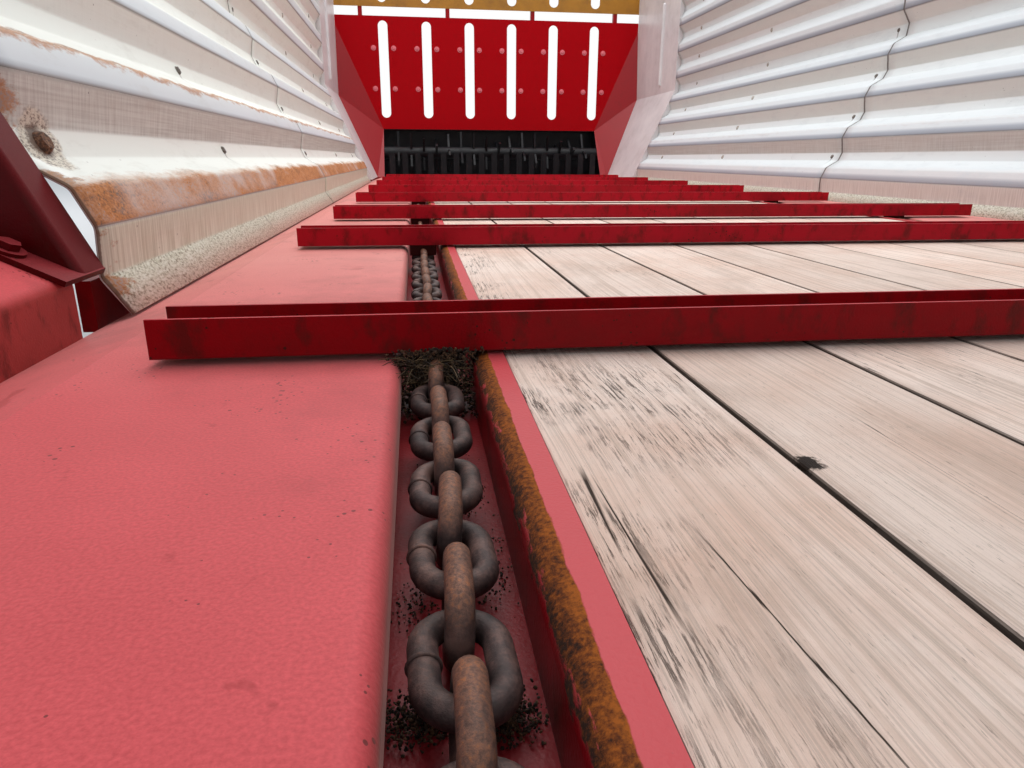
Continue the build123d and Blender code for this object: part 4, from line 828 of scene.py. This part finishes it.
# Feed rotor, comb and casing: black enamel on welded steel, rubbed brownish by the crop,
# shinier where it has kept its black.
black, tree, shader = finish("black_enamel_worn_by_crop")
where = add(tree, "TexCoord").outputs["Object"]
cloud = add(tree, "TexNoise", {"Vector": where, "Scale": 30.0, "Detail": 7.0, "Roughness": 0.65})
colour = add(tree, "ValToRGB", (cloud,), stops=((0.42, "#0C0C0F"), (0.6, "#131318"), (0.75, "#332B27")))
rough = add(tree, "MapRange", (cloud, 0.4, 0.7, 0.35, 0.65))
feed(tree, shader, {"Base Color": colour.outputs["Color"], "Roughness": rough, "Specular IOR Level": 0.2})
coat(black, "feed_rotor", "mouth_comb", "feed_channel_casing")

# Shafts, hinge pins and bearings: turned steel, greased and gone brown in places, in cast
# housings painted with the frame.
turned_steel = clouded("turned_steel_greased", 60.0, 6.0, 0.65,
                       ((0.38, "#94918C"), (0.55, "#7A6C60"), (0.68, "#54402F")),
                       Metallic=0.9, Roughness=0.4)
coat(turned_steel, "rear_chain_shaft", "front_chain_shaft", *sides("gate_hinge_pin"))
coat(frame_red, "rear_shaft_bearings", "front_shaft_bearings")

# Fasteners: button-head screws with washers, where the posts hold the ribbed sheets. Their
# zinc has gone dull and paler at the front; every third bolt at the rear end is rusted brown.
dull_zinc = clouded("dull_zinc_plate", 90.0, 6.0, 0.7,
                    ((0.4, "#7E7A74"), (0.55, "#5B544D"), (0.66, "#4A3527")), Metallic=0.5, Roughness=0.55)
pale_zinc = clouded("weathered_zinc_plate", 90.0, 6.0, 0.7,
                    ((0.4, "#BDB9B2"), (0.55, "#A39C92"), (0.66, "#857666")), Metallic=0.5, Roughness=0.55)
rusted, tree, shader = finish("rusted_bolt_steel")
where = add(tree, "TexCoord").outputs["Object"]
cloud = add(tree, "TexNoise", {"Vector": where, "Scale": 260.0, "Detail": 6.0, "Roughness": 0.7})
colour = add(tree, "ValToRGB", (cloud,), stops=((0.4, "#3A2A22"), (0.52, "#6A4630"), (0.64, "#8C6A50")))
bump = add(tree, "Bump", {"Height": cloud, "Strength": 0.6, "Distance": 0.0006})
feed(tree, shader, {"Base Color": colour.outputs["Color"], "Roughness": 0.8, "Normal": bump})
painted = red_enamel("red_enamel_on_bolt_heads", dust=0.5, grime=0.1, deep="#D8717A", gloss=0.3)
head_tree, given = new_tree("bolt_heads", (("Head Radius", 0.009), ("Head Top", 0.65),
                                           ("Head Height", 0.006), ("Washer Radius", 0.014),
                                           ("Washer Thickness", 0.0015)),
                            (("Head Sides", 12), ("Washer Sides", 14)))
top_radius = add(head_tree, "Math MULTIPLY", (given["Head Radius"], given["Head Top"]))
both = add(head_tree, "GeometryNodeJoinGeometry")
for around, top_r, foot_r, depth in (
        (given["Head Sides"], top_radius, given["Head Radius"], given["Head Height"]),
        (given["Washer Sides"], given["Washer Radius"], given["Washer Radius"], given["Washer Thickness"])):
    feed(head_tree, both, (add(head_tree, "GeometryNodeMeshCone", {
        "Vertices": around, "Radius Top": top_r, "Radius Bottom": foot_r, "Depth": depth}),))
set_on_points(head_tree, given, both)
INWARD_LEAN = math.atan2(SLOPE_COS, SLOPE_SIN)


def wall_fastener(sign, rise, y):
    """Place and turn of a screw head on a flat of a ribbed wall."""
    spot = wall_point(rise, WAVE_DEPTH)
    lean = INWARD_LEAN if rise < KNEE_RISE else math.pi / 2
    return (sign * spot.x, y, spot.y), (0, -sign * lean, 0)


screws, far_screws, end_bolts = ([], []), ([], []), ([], [])
BOLT_EVERY = 3
for sign in (-1, 1):
    for k in range(int((WALL_HEIGHT - FIRST_CREASE) / WAVE_PITCH)):
        rise = FIRST_CREASE + k * WAVE_PITCH + FLAT_RISE
        at_end = end_bolts if k % BOLT_EVERY == 0 else screws
        for group, y in zip((at_end, screws, screws, far_screws, far_screws), (END_BOLT[1], *POST_STATIONS)):
            at, turned = wall_fastener(sign, rise, y)
            group[0].append(at)
            group[1].append(turned)
grown("wall_screws", points_mesh("wall_screws", *screws), head_tree, {}, dull_zinc)
grown("front_wall_screws", points_mesh("front_wall_screws", *far_screws), head_tree,
      {"Head Radius": 0.012, "Washer Radius": 0.017, "Washer Thickness": 0.002}, pale_zinc)
grown("wall_end_bolts", points_mesh("wall_end_bolts", *end_bolts), head_tree,
      {"Head Radius": 0.013, "Head Height": 0.009, "Washer Radius": 0.015}, rusted)

# Front wall bolts: button heads with washers in pairs beside the slots, painted over with
# the wall and pink with the dust that has stuck to them.
wall_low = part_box("front_wall")[0]
SLOT_PITCH, SLOTS, PAIR_HALF, PAIR_HEIGHTS = 0.304, 6, 0.070, (0.603, 0.869)
pairs_at = [((i - (SLOTS - 1) / 2) * SLOT_PITCH + side * PAIR_HALF, wall_low.y, FLOOR_Z + z)
            for i in range(SLOTS) for side in (-1, 1) for z in PAIR_HEIGHTS]
facing_back = [(math.pi / 2, 0, 0)] * len(pairs_at)
grown("front_wall_bolts", points_mesh("front_wall_bolts", pairs_at, facing_back), head_tree,
      {"Head Radius": 0.013, "Head Height": 0.008, "Washer Radius": 0.018, "Washer Thickness": 0.002},
      painted)

# Caked dirt and trapped hay: crumbs stuck in the chain troughs and along the slat's
# clips, and dry stalks jammed under the first slat where it is fixed to the chain.
caked = clouded("dried_earth_and_chaff", 300.0, 4.0, 0.6,
                ((0.4, "#1E1410"), (0.5, "#35241A"), (0.62, "#624630")), Roughness=0.95)
crumb_tree, given = new_tree("dirt_crumbs", (("Crumb Radius", 0.001), ("Flatness", 0.6)))
crumb = add(crumb_tree, "GeometryNodeMeshIcoSphere", {"Radius": given["Crumb Radius"], "Subdivisions": 1})
flat = add(crumb_tree, "CombineXYZ", (1.0, 1.0, given["Flatness"]))
set_on_points(crumb_tree, given, add(crumb_tree, "GeometryNodeTransform", {"Geometry": crumb, "Scale": flat}))
stalk_tree, given = new_tree("dry_stalks",
                             (("Stalk Length", 0.022), ("Stalk Radius", 0.00035), ("Sag", 0.005)))
middle = add(stalk_tree, "CombineXYZ", (0.0, 0.0, given["Sag"]))
tip = add(stalk_tree, "CombineXYZ", (given["Stalk Length"], 0.0, 0.0))
arc = add(stalk_tree, "GeometryNodeCurveQuadraticBezier",
          {"Resolution": 4, "Start": (0, 0, 0), "Middle": middle, "End": tip})
reed = add(stalk_tree, "GeometryNodeCurvePrimitiveCircle",
           {"Radius": given["Stalk Radius"], "Resolution": 3}, mode="RADIUS")
set_on_points(stalk_tree, given, add(stalk_tree, "GeometryNodeCurveToMesh",
                                     {"Curve": arc, "Profile Curve": reed, "Fill Caps": True}))
TROUGH_FLOOR_Z, TROUGH_HALF = FLOOR_Z - 0.0345, 0.024
SCATTERED, SCATTER_FROM_Y, SCATTER_TO_Y, STALKS = 420, -2.40, 0.5, 320
dice = random.Random(11)
crumbs = ([], [], [])


def strew(count, x, y, z, half_x, half_y, high, sizes):
    """Crumbs in a heap that thins outward from its middle."""
    for _ in range(count):
        off_x, off_y = dice.gauss(0, half_x / 2), dice.gauss(0, half_y / 2)
        if abs(off_x) < half_x and abs(off_y) < half_y:
            crumbs[0].append((x + off_x, y + off_y, z + dice.uniform(0, high)))
            crumbs[1].append([dice.uniform(0, math.tau) for _ in range(3)])
            crumbs[2].append(dice.uniform(*sizes))


# columns: x, y, z of the heap, half sizes across and along, height, how many, least and most size
HEAPS = (
    (-CHAIN_X, FIRST_SLAT_Y - 0.036, TROUGH_FLOOR_Z + 0.002, 0.028, 0.026, 0.016, 1100, 0.5, 1.6),
    (-CHAIN_X, FIRST_SLAT_Y - 0.0235, TROUGH_FLOOR_Z + 0.012, 0.034, 0.003, 0.030, 1900, 0.5, 1.5),
    (-CHAIN_X - 0.013, -2.217, TROUGH_FLOOR_Z, 0.013, 0.012, 0.006, 800, 0.25, 0.9),
    (-CHAIN_X + 0.012, -2.220, TROUGH_FLOOR_Z, 0.013, 0.011, 0.007, 800, 0.25, 0.9),
    (-CHAIN_X - 0.014, -2.160, TROUGH_FLOOR_Z, 0.012, 0.020, 0.002, 150, 0.25, 0.7),
    (-CHAIN_X + 0.012, -2.135, TROUGH_FLOOR_Z, 0.014, 0.030, 0.002, 240, 0.25, 0.8),
    (-CHAIN_X + 0.006, -2.060, TROUGH_FLOOR_Z, 0.020, 0.050, 0.001, 260, 0.25, 0.7),
)
for x, y, z, half_x, half_y, high, count, least, most in HEAPS:
    strew(count, x, y, z, half_x, half_y, high, (least, most))
for sign in (-1, 1):
    for _ in range(SCATTERED):
        crumbs[0].append((sign * CHAIN_X + dice.uniform(-TROUGH_HALF, TROUGH_HALF),
                          dice.uniform(SCATTER_FROM_Y, SCATTER_TO_Y), TROUGH_FLOOR_Z))
        crumbs[1].append([dice.uniform(0, math.tau) for _ in range(3)])
        crumbs[2].append(dice.uniform(0.25, 0.8))
grown("caked_dirt", points_mesh("caked_dirt", *crumbs), crumb_tree, {}, caked)
# The stalks are dark brown: old hay, darkened further as painted shade under the slat
shaded_hay = clouded("dry_hay_stalks_painted_shade", 120.0, 2.0, 0.5, ((0.4, "#261B12"), (0.6, "#5E492E")), Roughness=0.8)
stalks = ([], [], [])
for _ in range(STALKS):
    stalks[0].append((-CHAIN_X - 0.006 + dice.gauss(0, 0.014),
                      FIRST_SLAT_Y - 0.025 - abs(dice.gauss(0, 0.006)),
                      TROUGH_FLOOR_Z + dice.uniform(0.008, 0.034)))
    stalks[1].append((dice.uniform(-0.5, 0.5), dice.uniform(-0.4, 0.5), dice.uniform(0, math.tau)))
    stalks[2].append(dice.uniform(0.4, 1.1))
grown("trapped_hay", points_mesh("trapped_hay", *stalks), stalk_tree, {}, shaded_hay)
